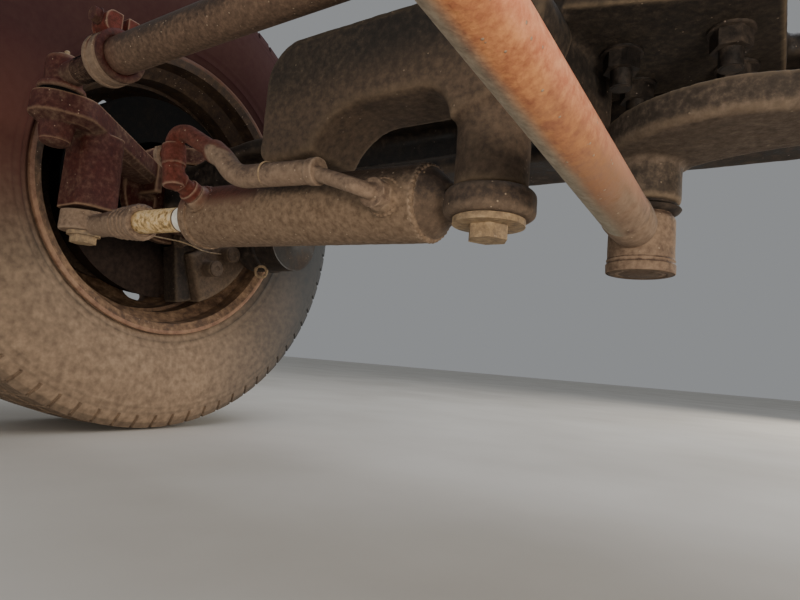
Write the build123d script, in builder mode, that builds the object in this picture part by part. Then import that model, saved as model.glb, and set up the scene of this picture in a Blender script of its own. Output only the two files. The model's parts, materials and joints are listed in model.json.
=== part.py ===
# Steered axle of a road sweeper: forged beam, both knuckles, disc brakes and wheels, tie rod,
# steering cylinder with its pipe, anchor casting, drag link and the arm that takes it.
# Millimetres. X runs across the vehicle, -Y is the side of the tie rod, +Z is up.
# The origin is the middle of the axle at the height of the spring seats.
import os
from math import cos, radians, sin

from build123d import *

os.makedirs("parts", exist_ok=True)

# overall layout
hub_z = -93.0
wheel_x = 948.0
kingpin_x = 790.0
running_gap = 0.05
face_gap = 0.3

# beam
beam_top = -25.0
beam_height = 110.0
beam_width = 110.0
beam_flange = 28.0
beam_web = 24.0
pocket_end = 610.0
taper_start = 560.0
taper_end = 728.0
neck_start = 640.0
neck_half_width = 34.0
end_reach = 60.0
flange_round = 6.0
seat_x = 410.0
seat_length = 150.0
seat_width = 176.0
seat_bolt_x = 100.0
seat_bolt_y = 136.0
seat_hole_radius = 10.0
kingpin_radius = 25.0
pin_boss_radius = 52.0
pin_boss_height = 92.0
ledge_start = 80.0
ledge_end = 262.0
ledge_reach = 215.0
ledge_thickness = 24.0

# anchor casting
casting_front = -330.0
casting_depth = 80.0
casting_top = -66.0
casting_left = -230.0
arch_z = -156.0
flange_thickness = 26.0
casting_round = 9.0
leg_radius = 34.0
bracket_bolt_radius = 11.0
bracket_bolt_x = (119.0, 218.0)
bracket_bolt_y = (-168.0, -92.0)

# knuckle
ear_thickness = 36.0
ear_gap = 1.0
ear_radius = 50.0
pin_cover = 8.0
web_clearance = 57.0
web_half_width = 45.0
flange_offset = 74.0
flange_wall = 22.0
lug_inner = 12.0
lug_reach = 76.0
lug_height = 60.0
flange_radius = 105.0
spindle_root_radius = 48.0
spindle_radius = 35.0
spindle_root_end = -20.0
spindle_end = 195.0

# hub, disc and wheel, measured outward from the middle plane of the wheel
hub_inner = -15.0
hub_face = 140.0
hub_barrel_radius = 95.0
hub_flange = 18.0
hub_flange_radius = 182.0
hub_spigot_radius = 140.0
cap_radius = 68.0
cap_end = 210.0
disc_inner = -52.0
disc_thickness = 45.0
disc_radius = 215.0
disc_bore = 120.0
hat_radius = 146.0
hat_wall = 9.0
hat_end = 58.0
bead_radius = 285.75
lip_height = 14.25
rim_half = 118.0
rim_wall = 8.0
well_depth = 23.75
disc_plate = 12.0
stud_circle = 167.5
stud_count = 10
hand_hole_count = 10
hand_hole_radius = 21.0
hand_hole_circle = 213.0
nut_flats = 32.0
nut_height = 26.0
tyre_radius = 499.0
tyre_half = 139.5
tread_half = 112.0
tread_thickness = 25.0
groove_depth = 13.0
groove_width = 14.0
groove_places = (0.0, 56.0)
flank_drop = 111.0
flank_wall = 14.0

# brake
caliper_angle = -33.0
caliper_spread = 72.0
caliper_inner = -118.0
caliper_outer = 22.0
caliper_room = 16.0
caliper_root = 128.0
caliper_round = 9.0
guide_radius = 18.0
guide_length = 34.0
guide_circle = 172.0
guide_angles = (11.0, 31.0)
carrier_thickness = 16.0
carrier_spread = 96.0
chamber_y = 222.0
chamber_z = -150.0
chamber_radius = 72.0
chamber_length = 125.0
shield_margin = 7.0
shield_wall = 3.0

# tie rod and its arms
tie_x = 674.0
tie_y = -336.0
tie_z = -16.0
tie_radius = 26.0
tie_end = 560.0
tie_housing_radius = 27.0
tie_housing_height = 44.0
tie_housing_rise = 8.0
tie_boot_radius = 29.5
tie_boot_round = 3.0
tie_shank_radius = 19.0
clamp_radius = 36.0
clamp_width = 38.0
clamp_setback = 41.0
lug_width = 56.0
lug_rise = 33.0
lug_round = 13.0
lug_slot = 8.0
clamp_bolt_radius = 7.0
clamp_bolt_rise = 22.0
clamp_bolt_reach = 8.0
arm_top = -50.0
arm_thickness = 42.0
arm_eye_radius = 41.0
arm_shoulder = Vector(664, -318)
arm_shoulder_radius = 39.0
arm_waist = Vector(722, -240)
arm_waist_radius = 34.0
arm_foot_length = 56.0
arm_foot_depth = 34.0
parting_drop = 32.0
upper_inset = 2.0
lower_inset = 14.0
eye_boss_radius = 26.0
eye_boss_end = 21.0
eye_boss_height = 28.0
leg_length = 80.0
leg_width = 68.0
leg_flare = 3.0
leg_round = 20.0

# steering cylinder
rod_pin = Vector(-695, -262, -232)
anchor_pin = Vector(38, -290, -257)
eye_height = 26.0
eye_radius = 42.0
eye_drop = 6.0
eye_neck_start = 38.0
eye_neck_radius = 17.0
eye_round = 7.0
end_round = 9.0
anchor_radius = 20.0
barrel_radius = 39.0
barrel_bore = 33.0
barrel_start = 62.0
cap_thickness = 12.0
barrel_end = 425.0
gland_length = 18.0
rod_radius = 17.0
rod_inner_end = 262.0
clamp_start = 565.0
rod_eye_radius = 38.0
rod_eye_height = 32.0
rod_eye_lift = 5.0
rod_socket_depth = 40.0
rod_socket_radius = 26.0
rod_neck_radius = 16.0
open_gap = 4.6
washer_height = 6.0
anchor_washer_radius = 33.0
anchor_flats = 33.0
anchor_head = 13.0
rod_washer_radius = 25.0
rod_flats = 34.0
rod_head = 12.0

# pipe between the cylinder's ports
left_port = 385.0
right_port = 95.0
left_port_angle = 68.0
right_port_angle = 93.0
port_height = 47.0
port_radius = 14.0
port_root_radius = 21.0
left_elbow = 80.0
right_elbow = 72.0
pipe_radius = 10.5
sleeve_radius = 12.5
tail_radius = 7.5
union_radius = 14.0
collar_length = 10.0
block_radius = 12.5
block_drop = 12.0
plug_rise = 30.0
plug_reach = 33.0
plug_head = 11.0
plug_flats = 27.0
plug_neck_radius = 9.0

# drag link and its arm
drag_ball = Vector(148, -185, -274)
drag_length = 760.0
drag_rise = 85.0
drag_shift = -24.0
drag_radius = 21.0
drag_housing_radius = 30.0
drag_housing_height = 57.0
drag_housing_drop = 7.5
drag_housing_round = 8.0
drag_boot_radius = 26.0
drag_shank_radius = 17.0
drag_arm_thickness = 30.0
drag_boss_radius = 42.0
drag_socket_radius = 34.0
drag_socket_depth = 38.0
drag_arm_round = 7.0
stud_nut_flats = 38.0
stud_nut_height = 20.0
ball_stud_radius = 12.0
ball_stud_length = 70.0

# heights and places that follow
beam_bottom = beam_top - beam_height
boss_top = hub_z + pin_boss_height / 2
boss_bottom = hub_z - pin_boss_height / 2
upper_ear = boss_top + ear_gap
lower_ear = boss_bottom - ear_gap - ear_thickness
pin_reach = pin_boss_height / 2 + ear_gap + ear_thickness - pin_cover
flange_inner = kingpin_x + flange_offset - wheel_x
flange_outer = flange_inner + flange_wall
ledge_bottom = beam_top - ledge_thickness
lip_radius = bead_radius + lip_height
well_radius = bead_radius - well_depth
well_inner = well_radius - rim_wall
caliper_reach = well_inner - caliper_room
shield_radius = disc_radius + shield_margin
anchor_ring = anchor_pin.Z - eye_drop
rod_ring = rod_pin.Z + rod_eye_lift
arm_parting = arm_top - parting_drop
arm_low = arm_top - arm_thickness
clamp_middle = tie_end - clamp_setback + clamp_width / 2
tie_housing_low = tie_z + tie_housing_rise - tie_housing_height / 2
leg_low = rod_ring + rod_eye_height / 2 + open_gap
cylinder_axis = (rod_pin - anchor_pin).normalized()
pin_distance = (rod_pin - anchor_pin).length


def finish(part, name):
    part.label = name
    export_step(part, "parts/" + name + ".step")


def wheel_plane(sign):
    # local x runs outward from the wheel's middle plane, local y up from its axis
    return Plane(origin=(sign * wheel_x, 0, hub_z), x_dir=(sign, 0, 0), z_dir=(0, -sign, 0))


def disc_plane(sign, outward):
    # local x is +Y, local y is +Z, the normal is +X
    return Plane(origin=(sign * (wheel_x + outward), 0, hub_z), x_dir=(0, 1, 0), z_dir=(1, 0, 0))


def sector(inner, outer, start, spread):
    # the corners of a ring sector, in the order that its outline runs
    end = start + spread
    middle = start + spread / 2
    def at(radius, angle):
        return (radius * cos(radians(angle)), radius * sin(radians(angle)))
    with BuildLine() as outline:
        Line(at(inner, start), at(outer, start))
        ThreePointArc(at(outer, start), at(outer, middle), at(outer, end))
        Line(at(outer, end), at(inner, end))
        ThreePointArc(at(inner, end), at(inner, middle), at(inner, start))
    return outline.line


def arm_section(sign, height, inset):
    # the outline of the tie rod's arm at one height, drawn in by an inset
    with BuildSketch(Plane.XY.offset(height)) as section:
        with Locations((sign * tie_x, tie_y)):
            Circle(arm_eye_radius - inset)
        with Locations((sign * arm_shoulder.X, arm_shoulder.Y)):
            Circle(arm_shoulder_radius - inset)
        with Locations((sign * arm_waist.X, arm_waist.Y)):
            Circle(arm_waist_radius - inset)
        foot_x = kingpin_x + lug_inner + arm_foot_length / 2
        with Locations((sign * foot_x, -lug_reach - face_gap - arm_foot_depth / 2)):
            Rectangle(arm_foot_length - 2 * inset, arm_foot_depth)
        make_hull()
    return section.sketch


def guide_place(angle):
    # where a guide pin's cover sits on the caliper
    return (guide_circle * cos(radians(angle)), guide_circle * sin(radians(angle)))


# beam
with BuildPart() as beam:
    with BuildSketch(Plane.XZ.offset(-beam_width / 2)):
        with BuildLine():
            Polyline(
                (-kingpin_x, boss_bottom + 6),
                (-taper_end, boss_bottom + 6),
                (-taper_start, beam_bottom),
                (taper_start, beam_bottom),
                (taper_end, boss_bottom + 6),
                (kingpin_x, boss_bottom + 6),
                (kingpin_x, boss_top - 6),
                (taper_end, boss_top - 6),
                (taper_start, beam_top),
                (-taper_start, beam_top),
                (-taper_end, boss_top - 6),
                (-kingpin_x, boss_top - 6),
                close=True,
            )
        make_face()
    extrude(amount=beam_width)
    for sign in (-1, 1):
        with BuildSketch(Plane.XZ.offset(-sign * beam_width / 2)):
            with Locations((0, beam_top - beam_height / 2)):
                RectangleRounded(2 * pocket_end, beam_height - 2 * beam_flange, 24)
        extrude(amount=sign * (beam_width - beam_web) / 2, mode=Mode.SUBTRACT)
    fillet(beam.edges().filter_by(Axis.X).filter_by(lambda edge: edge.length > taper_start), flange_round)
    # the ends narrow towards the pin bosses
    for sign in (-1, 1):
        for edge in (-1, 1):
            with BuildSketch(Plane.XY.offset(beam_bottom - 20)):
                with BuildLine():
                    Polyline(
                        (sign * neck_start, edge * (beam_width / 2 + 1)),
                        (sign * (kingpin_x + end_reach), edge * neck_half_width),
                        (sign * (kingpin_x + end_reach), edge * (beam_width / 2 + 1)),
                        close=True,
                    )
                make_face()
            extrude(amount=beam_height + 60, mode=Mode.SUBTRACT)
        with BuildSketch(Plane.XY.offset(boss_bottom - 40)):
            with Locations((sign * (kingpin_x + end_reach), 0)):
                Rectangle(2 * end_reach, beam_width + 2)
        extrude(amount=beam_height + 80, mode=Mode.SUBTRACT)
        with BuildSketch(Plane.XY.offset(boss_bottom)):
            with Locations((sign * kingpin_x, 0)):
                Circle(pin_boss_radius)
        extrude(amount=pin_boss_height)
        with BuildSketch(Plane.XY.offset(beam_top)):
            with Locations((sign * seat_x, 0)):
                RectangleRounded(seat_length, seat_width, 12)
        extrude(amount=-beam_top)
        with BuildSketch(Plane.XY.offset(beam_top)):
            with Locations((sign * seat_x, 0)):
                with GridLocations(seat_bolt_x, seat_bolt_y, 2, 2):
                    Circle(seat_hole_radius)
        extrude(amount=-beam_top, mode=Mode.SUBTRACT)
        with BuildSketch(Plane.XY.offset(boss_bottom)):
            with Locations((sign * kingpin_x, 0)):
                Circle(kingpin_radius + running_gap)
        extrude(amount=pin_boss_height, mode=Mode.SUBTRACT)
    # the ledge that the casting bolts to
    with BuildSketch(Plane.XY.offset(ledge_bottom)):
        with BuildLine():
            Polyline(
                (ledge_start, -beam_width / 2 + 10),
                (ledge_start, -ledge_reach),
                (ledge_end, -ledge_reach),
                (ledge_end, -beam_width / 2 + 10),
                close=True,
            )
        make_face()
    extrude(amount=ledge_thickness)
    with BuildSketch(Plane.XY.offset(ledge_bottom)):
        with Locations(*[(x, y) for x in bracket_bolt_x for y in bracket_bolt_y]):
            Circle(bracket_bolt_radius + 0.5)
    extrude(amount=ledge_thickness, mode=Mode.SUBTRACT)
finish(beam.part, "axle_beam")

# anchor casting: a bar with an arch, a leg down to the cylinder's eye and a bolted flange
leg_bottom = anchor_ring + eye_height / 2 + face_gap
with BuildPart() as casting:
    with BuildSketch(Plane.XZ.offset(-casting_front)):
        with BuildLine():
            Line((casting_left, -185), (casting_left, -110))
            ThreePointArc((casting_left, -110), (-216, -80), (-180, casting_top))
            Line((-180, casting_top), (60, casting_top))
            ThreePointArc((60, casting_top), (84, -76), (94, -100))
            Line((94, -100), (72, -175))
            Line((72, -175), (8, -190))
            ThreePointArc((8, -190), (-2, -166), (-30, arch_z))
            Line((-30, arch_z), (-95, arch_z))
            ThreePointArc((-95, arch_z), (-130, -170), (-152, -200))
            Line((-152, -200), (-210, -205))
            ThreePointArc((-210, -205), (-226, -200), (casting_left, -185))
        make_face()
    extrude(amount=-casting_depth)
    fillet(casting.faces().sort_by(Axis.Y)[0].edges(), casting_round)
    with BuildSketch(Plane.XY.offset(leg_bottom)):
        with Locations((anchor_pin.X, anchor_pin.Y)):
            Circle(leg_radius)
    extrude(amount=arch_z + 20 - leg_bottom)
    with BuildSketch(Plane.XY.offset(ledge_bottom - flange_thickness)):
        with BuildLine():
            Polyline(
                (-40, casting_front + casting_depth - 20),
                (92, casting_front + casting_depth - 20),
                (ledge_end, -ledge_reach),
                (ledge_end, -beam_width / 2 - 4),
                (ledge_start, -beam_width / 2 - 4),
                (-60, -190),
                close=True,
            )
        make_face()
    extrude(amount=flange_thickness)
    with BuildSketch(Plane.XY.offset(-150)):
        with BuildLine():
            Polyline(
                (-30, casting_front + casting_depth - 20),
                (70, casting_front + casting_depth - 20),
                (100, -120),
                (60, -120),
                close=True,
            )
        make_face()
    extrude(amount=150 + ledge_bottom - flange_thickness)
    with BuildSketch(Plane.XY.offset(ledge_bottom - flange_thickness)):
        with Locations(*[(x, y) for x in bracket_bolt_x for y in bracket_bolt_y]):
            Circle(bracket_bolt_radius + 0.5)
    extrude(amount=flange_thickness, mode=Mode.SUBTRACT)
    with BuildSketch(Plane.XY.offset(leg_bottom)):
        with Locations((anchor_pin.X, anchor_pin.Y)):
            Circle(anchor_radius + running_gap)
    extrude(amount=40, mode=Mode.SUBTRACT)
finish(casting.part, "anchor_casting")

with BuildPart() as bracket_bolts:
    for x in bracket_bolt_x:
        for y in bracket_bolt_y:
            with BuildSketch(Plane.XY.offset(ledge_bottom - flange_thickness - 38)):
                with Locations((x, y)):
                    Circle(bracket_bolt_radius)
            extrude(amount=38 + flange_thickness + ledge_thickness)
            with BuildSketch(Plane.XY.offset(ledge_bottom - flange_thickness - 20)):
                with Locations((x, y)):
                    RegularPolygon(nut_flats / 2, 6, major_radius=False)
            extrude(amount=20)
            with BuildSketch(Plane.XY.offset(beam_top)):
                with Locations((x, y)):
                    RegularPolygon(nut_flats / 2, 6, major_radius=False)
            extrude(amount=14)
finish(bracket_bolts.part, "bracket_bolts")

ring_bottom = anchor_ring - eye_height / 2
with BuildPart() as anchor_bolt:
    with BuildSketch(Plane.XY.offset(ring_bottom - face_gap)):
        with Locations((anchor_pin.X, anchor_pin.Y)):
            Circle(anchor_radius)
    extrude(amount=eye_height + 2 * face_gap + 38)
    with BuildSketch(Plane.XY.offset(ring_bottom - face_gap - washer_height)):
        with Locations((anchor_pin.X, anchor_pin.Y)):
            Circle(anchor_washer_radius)
    extrude(amount=washer_height)
    with BuildSketch(Plane.XY.offset(ring_bottom - face_gap - washer_height - anchor_head)):
        with Locations((anchor_pin.X, anchor_pin.Y)):
            RegularPolygon(anchor_flats / 2, 6, major_radius=False)
    extrude(amount=anchor_head)
finish(anchor_bolt.part, "anchor_bolt")

for side, sign in (("left", -1), ("right", 1)):
    pin_x = sign * kingpin_x

    with BuildPart() as kingpin:
        with BuildSketch(Plane.XY.offset(hub_z - pin_reach)):
            with Locations((pin_x, 0)):
                Circle(kingpin_radius)
        extrude(amount=2 * pin_reach)
    finish(kingpin.part, "kingpin_" + side)

    with BuildPart() as knuckle:
        for bottom in (lower_ear, upper_ear):
            with BuildSketch(Plane.XY.offset(bottom)):
                with Locations((pin_x, 0)):
                    Circle(ear_radius)
                with Locations((pin_x + sign * flange_offset / 2, 0)):
                    Rectangle(flange_offset, 2 * web_half_width)
            extrude(amount=ear_thickness)
        with BuildSketch(Plane.XY.offset(lower_ear)):
            with Locations((pin_x + sign * (web_clearance + flange_offset) / 2, 0)):
                Rectangle(flange_offset - web_clearance, 2 * web_half_width)
        extrude(amount=upper_ear + ear_thickness - lower_ear)
        # the lug that the tie rod's arm bolts to
        with BuildSketch(Plane.XY.offset(arm_top - lug_height)):
            with BuildLine():
                Polyline(
                    (pin_x + sign * web_clearance, -web_half_width + 5),
                    (pin_x + sign * flange_offset, -web_half_width + 5),
                    (pin_x + sign * flange_offset, -lug_reach),
                    (pin_x + sign * lug_inner, -lug_reach),
                    (pin_x + sign * lug_inner, -web_clearance - 3),
                    (pin_x + sign * web_clearance, -web_clearance - 3),
                    close=True,
                )
            make_face()
        extrude(amount=lug_height)
        with BuildSketch(wheel_plane(sign)):
            with BuildLine():
                Polyline(
                    (flange_inner, 0),
                    (flange_inner, flange_radius),
                    (flange_outer, flange_radius),
                    (flange_outer, spindle_root_radius + 14),
                    (spindle_root_end, spindle_root_radius),
                    (spindle_root_end, spindle_radius),
                    (spindle_end, spindle_radius),
                    (spindle_end, 0),
                    close=True,
                )
            make_face()
        revolve(axis=Axis((0, 0, hub_z), (1, 0, 0)))
        for bottom in (lower_ear + pin_cover, upper_ear):
            with BuildSketch(Plane.XY.offset(bottom)):
                with Locations((pin_x, 0)):
                    Circle(kingpin_radius + running_gap)
            extrude(amount=ear_thickness - pin_cover, mode=Mode.SUBTRACT)
    finish(knuckle.part, "knuckle_" + side)

    # the tie rod's arm, a forging that narrows away from its parting plane; the left one has a leg
    with BuildPart() as arm:
        loft(arm_section(sign, arm_parting, 0) + arm_section(sign, arm_top, upper_inset), ruled=True)
        loft(arm_section(sign, arm_parting, 0) + arm_section(sign, arm_low, lower_inset), ruled=True)
        with Locations((sign * tie_x, tie_y, arm_low - eye_boss_height / 2)):
            Cone(eye_boss_end, eye_boss_radius, eye_boss_height)
        if side == "left":
            with BuildSketch(Plane.XY.offset(leg_low)):
                with Locations((rod_pin.X, rod_pin.Y)):
                    RectangleRounded(leg_length + leg_flare, leg_width + leg_flare, leg_round)
            with BuildSketch(Plane.XY.offset(arm_parting)):
                with Locations((rod_pin.X, rod_pin.Y)):
                    RectangleRounded(leg_length, leg_width, leg_round)
            loft()
    finish(arm.part, "steering_arm_" + side)

    with BuildPart() as hub:
        with BuildSketch(wheel_plane(sign)):
            with BuildLine():
                Polyline(
                    (hub_inner, spindle_radius + running_gap),
                    (hub_inner, hub_barrel_radius),
                    (hub_face - hub_flange - 30, hub_barrel_radius),
                    (hub_face - hub_flange, hub_barrel_radius + 34),
                    (hub_face - hub_flange, hub_flange_radius),
                    (hub_face, hub_flange_radius),
                    (hub_face, hub_spigot_radius),
                    (hub_face + disc_plate, hub_spigot_radius - 3),
                    (hub_face + disc_plate + 4, cap_radius + 22),
                    (cap_end - 26, cap_radius),
                    (cap_end - 6, cap_radius - 4),
                    (cap_end, cap_radius - 14),
                    (cap_end, 0),
                    (spindle_end + 3, 0),
                    (spindle_end + 3, spindle_radius + running_gap),
                    close=True,
                )
            make_face()
        revolve(axis=Axis((0, 0, hub_z), (1, 0, 0)))
    finish(hub.part, "hub_" + side)

    with BuildPart() as disc:
        with BuildSketch(wheel_plane(sign)):
            with BuildLine():
                Polyline(
                    (disc_inner, disc_bore),
                    (disc_inner, disc_radius),
                    (disc_inner + disc_thickness, disc_radius),
                    (disc_inner + disc_thickness, hat_radius),
                    (hat_end, hat_radius),
                    (hat_end, hub_barrel_radius + face_gap),
                    (hat_end - hat_wall, hub_barrel_radius + face_gap),
                    (hat_end - hat_wall, hat_radius - hat_wall),
                    (disc_inner + disc_thickness, hat_radius - hat_wall),
                    (disc_inner + disc_thickness - 10, disc_bore),
                    close=True,
                )
            make_face()
        revolve(axis=Axis((0, 0, hub_z), (1, 0, 0)))
    finish(disc.part, "brake_disc_" + side)

    with BuildPart() as rim:
        with BuildSketch(wheel_plane(sign)):
            with BuildLine():
                Polyline(
                    (-rim_half, lip_radius),
                    (-rim_half + 7, lip_radius),
                    (-rim_half + 12, bead_radius + 1),
                    (-70, bead_radius - 3),
                    (-45, well_radius),
                    (25, well_radius),
                    (50, bead_radius - 3),
                    (rim_half - 12, bead_radius + 1),
                    (rim_half - 7, lip_radius),
                    (rim_half, lip_radius),
                    (rim_half, lip_radius - 9),
                    (rim_half - 8, bead_radius - rim_wall),
                    (54, bead_radius - 3 - rim_wall),
                    (30, well_inner),
                    (-50, well_inner),
                    (-75, bead_radius - 3 - rim_wall),
                    (-rim_half + 8, bead_radius - rim_wall),
                    (-rim_half, lip_radius - 9),
                    close=True,
                )
            make_face()
            with BuildLine():
                Polyline(
                    (-5, well_inner + 1),
                    (28, well_inner + 1),
                    (64, well_inner - 4),
                    (108, well_inner - 22),
                    (139, well_inner - 48),
                    (hub_face + disc_plate, well_inner - 66),
                    (hub_face + disc_plate, hub_spigot_radius + face_gap),
                    (hub_face, hub_spigot_radius + face_gap),
                    (hub_face, well_inner - 71),
                    (129, well_inner - 54),
                    (101, well_inner - 30),
                    (60, well_inner - 13),
                    (28, well_inner - 8),
                    (-5, well_inner - 8),
                    close=True,
                )
            make_face()
        revolve(axis=Axis((0, 0, hub_z), (1, 0, 0)))
        with BuildSketch(disc_plane(sign, 60)):
            with PolarLocations(hand_hole_circle, hand_hole_count):
                Circle(hand_hole_radius)
        extrude(amount=sign * 100, mode=Mode.SUBTRACT)
    finish(rim.part, "rim_" + side)

    with BuildPart() as nuts:
        with BuildSketch(disc_plane(sign, hub_face + disc_plate)):
            with PolarLocations(stud_circle, stud_count, start_angle=18):
                RegularPolygon(nut_flats / 2, 6, major_radius=False)
        extrude(amount=sign * nut_height)
    finish(nuts.part, "wheel_nuts_" + side)

    with BuildPart() as tyre:
        with BuildSketch(wheel_plane(sign)):
            for half in (-1, 1):
                with BuildLine():
                    Line((0, tyre_radius), (half * tread_half, tyre_radius - 4))
                    Line((half * tread_half, tyre_radius - 4), (half * (tread_half + 14), tyre_radius - 24))
                    ThreePointArc(
                        (half * (tread_half + 14), tyre_radius - 24),
                        (half * tyre_half, tyre_radius - flank_drop),
                        (half * (rim_half - 6), lip_radius + 4),
                    )
                    Line((half * (rim_half - 6), lip_radius + 4), (half * (rim_half - 13), lip_radius))
                    Line((half * (rim_half - 13), lip_radius), (half * (rim_half - 13), bead_radius + 1.6))
                    Line((half * (rim_half - 13), bead_radius + 1.6), (half * 84, bead_radius + 1.6))
                    Line(
                        (half * 84, bead_radius + 1.6),
                        (half * (tyre_half - flank_wall), tyre_radius - flank_drop),
                    )
                    Line(
                        (half * (tyre_half - flank_wall), tyre_radius - flank_drop),
                        (half * (tread_half - 6), tyre_radius - tread_thickness - 6),
                    )
                    Line(
                        (half * (tread_half - 6), tyre_radius - tread_thickness - 6),
                        (0, tyre_radius - tread_thickness),
                    )
                    Line((0, tyre_radius - tread_thickness), (0, tyre_radius))
                make_face()
                for place in groove_places:
                    with Locations((half * place, tyre_radius)):
                        Rectangle(groove_width, 2 * groove_depth, mode=Mode.SUBTRACT)
        revolve(axis=Axis((0, 0, hub_z), (1, 0, 0)))
    finish(tyre.part, "tyre_" + side)

    # brake: carrier, caliper, chamber and shield on the knuckle
    carrier_start = caliper_angle - carrier_spread / 2
    caliper_first = caliper_angle - caliper_spread / 2
    with BuildPart() as carrier:
        with BuildSketch(disc_plane(sign, flange_inner - carrier_thickness)):
            with BuildLine():
                add(sector(62, caliper_root - 1, carrier_start, carrier_spread))
            make_face()
        extrude(amount=sign * carrier_thickness)
        arm_spread = (carrier_spread - caliper_spread) / 2 - 1.5
        for start in (carrier_start, carrier_start + carrier_spread - arm_spread):
            with BuildSketch(disc_plane(sign, flange_inner - carrier_thickness)):
                with BuildLine():
                    add(sector(caliper_root - 20, caliper_reach - 6, start, arm_spread))
                make_face()
            extrude(amount=sign * (disc_inner - 3 - flange_inner + carrier_thickness))
        with BuildSketch(disc_plane(sign, flange_inner)):
            Circle(flange_radius + face_gap)
        extrude(amount=sign * 60, mode=Mode.SUBTRACT)
        with BuildSketch(disc_plane(sign, flange_inner - carrier_thickness - 1)):
            Rectangle(2 * (web_half_width + face_gap), 2 * (upper_ear + ear_thickness + face_gap - hub_z))
        extrude(amount=sign * (carrier_thickness + 1), mode=Mode.SUBTRACT)
    finish(carrier.part, "brake_carrier_" + side)

    with BuildPart() as caliper:
        with BuildSketch(disc_plane(sign, caliper_inner)):
            with BuildLine():
                add(sector(caliper_root, caliper_reach, caliper_first, caliper_spread))
            make_face()
        extrude(amount=sign * (disc_inner - 4 - caliper_inner))
        inner_face = caliper.faces().sort_by(Axis.X)[0 if sign > 0 else -1]
        fillet(inner_face.edges(), caliper_round)
        with BuildSketch(disc_plane(sign, caliper_inner + 1)):
            with Locations(*[guide_place(caliper_first + angle) for angle in guide_angles]):
                Circle(guide_radius)
        extrude(amount=-sign * guide_length)
        with BuildSketch(disc_plane(sign, caliper_inner + 20)):
            with BuildLine():
                add(sector(disc_radius + 6, caliper_reach, caliper_first + 8, caliper_spread - 16))
            make_face()
        extrude(amount=sign * (caliper_outer - caliper_inner - 20))
        with BuildSketch(disc_plane(sign, disc_inner + disc_thickness + 4)):
            with BuildLine():
                add(sector(hat_radius + 8, caliper_reach, caliper_first + 8, caliper_spread - 16))
            make_face()
        extrude(amount=sign * (caliper_outer - disc_inner - disc_thickness - 4))
    finish(caliper.part, "brake_caliper_" + side)

    with BuildPart() as chamber:
        with BuildSketch(disc_plane(sign, caliper_inner - 10)):
            with Locations((chamber_y, chamber_z - hub_z)):
                Circle(chamber_radius)
        extrude(amount=-sign * chamber_length)
        with BuildSketch(disc_plane(sign, caliper_inner)):
            with Locations((chamber_y - 34, chamber_z - hub_z)):
                Circle(28)
        extrude(amount=-sign * 12)
    finish(chamber.part, "brake_chamber_" + side)

    with BuildPart() as shield:
        with BuildSketch(disc_plane(sign, flange_outer)):
            with BuildLine():
                add(sector(64, shield_radius, carrier_start - 134, 130))
            make_face()
        extrude(amount=sign * shield_wall)
    finish(shield.part, "dust_shield_" + side)

    # tie rod end: gaiter, housing and shank
    with BuildPart() as tie_end_part:
        with BuildSketch(Plane.XY.offset(arm_top + face_gap)):
            with Locations((sign * tie_x, tie_y)):
                Circle(tie_boot_radius)
        extrude(amount=tie_housing_low - arm_top - face_gap)
        fillet(tie_end_part.edges(), tie_boot_round)
        with BuildSketch(Plane.XY.offset(tie_housing_low)):
            with Locations((sign * tie_x, tie_y)):
                Circle(tie_housing_radius)
        extrude(amount=tie_housing_height)
        fillet(tie_end_part.edges().sort_by(Axis.Z)[-1], tie_housing_radius / 3)
        with BuildSketch(Plane.YZ.offset(sign * (tie_x - tie_housing_radius / 2))):
            with Locations((tie_y, tie_z)):
                Circle(tie_shank_radius)
        extrude(amount=-sign * (tie_x - tie_housing_radius / 2 - tie_end))
    finish(tie_end_part.part, "tie_rod_end_" + side)

    with BuildPart() as clamp:
        with BuildSketch(Plane.YZ.offset(sign * (tie_end - clamp_setback))):
            with Locations((tie_y, tie_z)):
                Circle(clamp_radius)
            with Locations((tie_y, tie_z + tie_radius + lug_rise / 2)):
                RectangleRounded(lug_width, lug_rise, lug_round)
            with Locations((tie_y, tie_z)):
                Circle(tie_radius + running_gap, mode=Mode.SUBTRACT)
            with Locations((tie_y, tie_z + tie_radius + lug_rise / 2)):
                Rectangle(lug_slot, lug_rise + 2, mode=Mode.SUBTRACT)
        extrude(amount=sign * clamp_width)
        with BuildSketch(Plane.XZ.offset(-tie_y - lug_width / 2 - clamp_bolt_reach)):
            with Locations((sign * clamp_middle, tie_z + tie_radius + clamp_bolt_rise)):
                Circle(clamp_bolt_radius)
        extrude(amount=lug_width + 2 * clamp_bolt_reach)
    finish(clamp.part, "tie_rod_clamp_" + side)

with BuildPart() as tie_tube:
    with BuildSketch(Plane.YZ.offset(-tie_end)):
        with Locations((tie_y, tie_z)):
            Circle(tie_radius)
    extrude(amount=2 * tie_end)
finish(tie_tube.part, "tie_rod_tube")

# steering cylinder
cylinder_plane = Plane(origin=anchor_pin, z_dir=cylinder_axis)


def port_plane(along, angle):
    # the normal leaves the barrel's axis, angle degrees from straight up towards -Y
    outward = Vector(0, -sin(radians(angle)), cos(radians(angle)))
    return Plane(origin=anchor_pin + cylinder_axis * along, x_dir=cylinder_axis, z_dir=outward)


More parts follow.
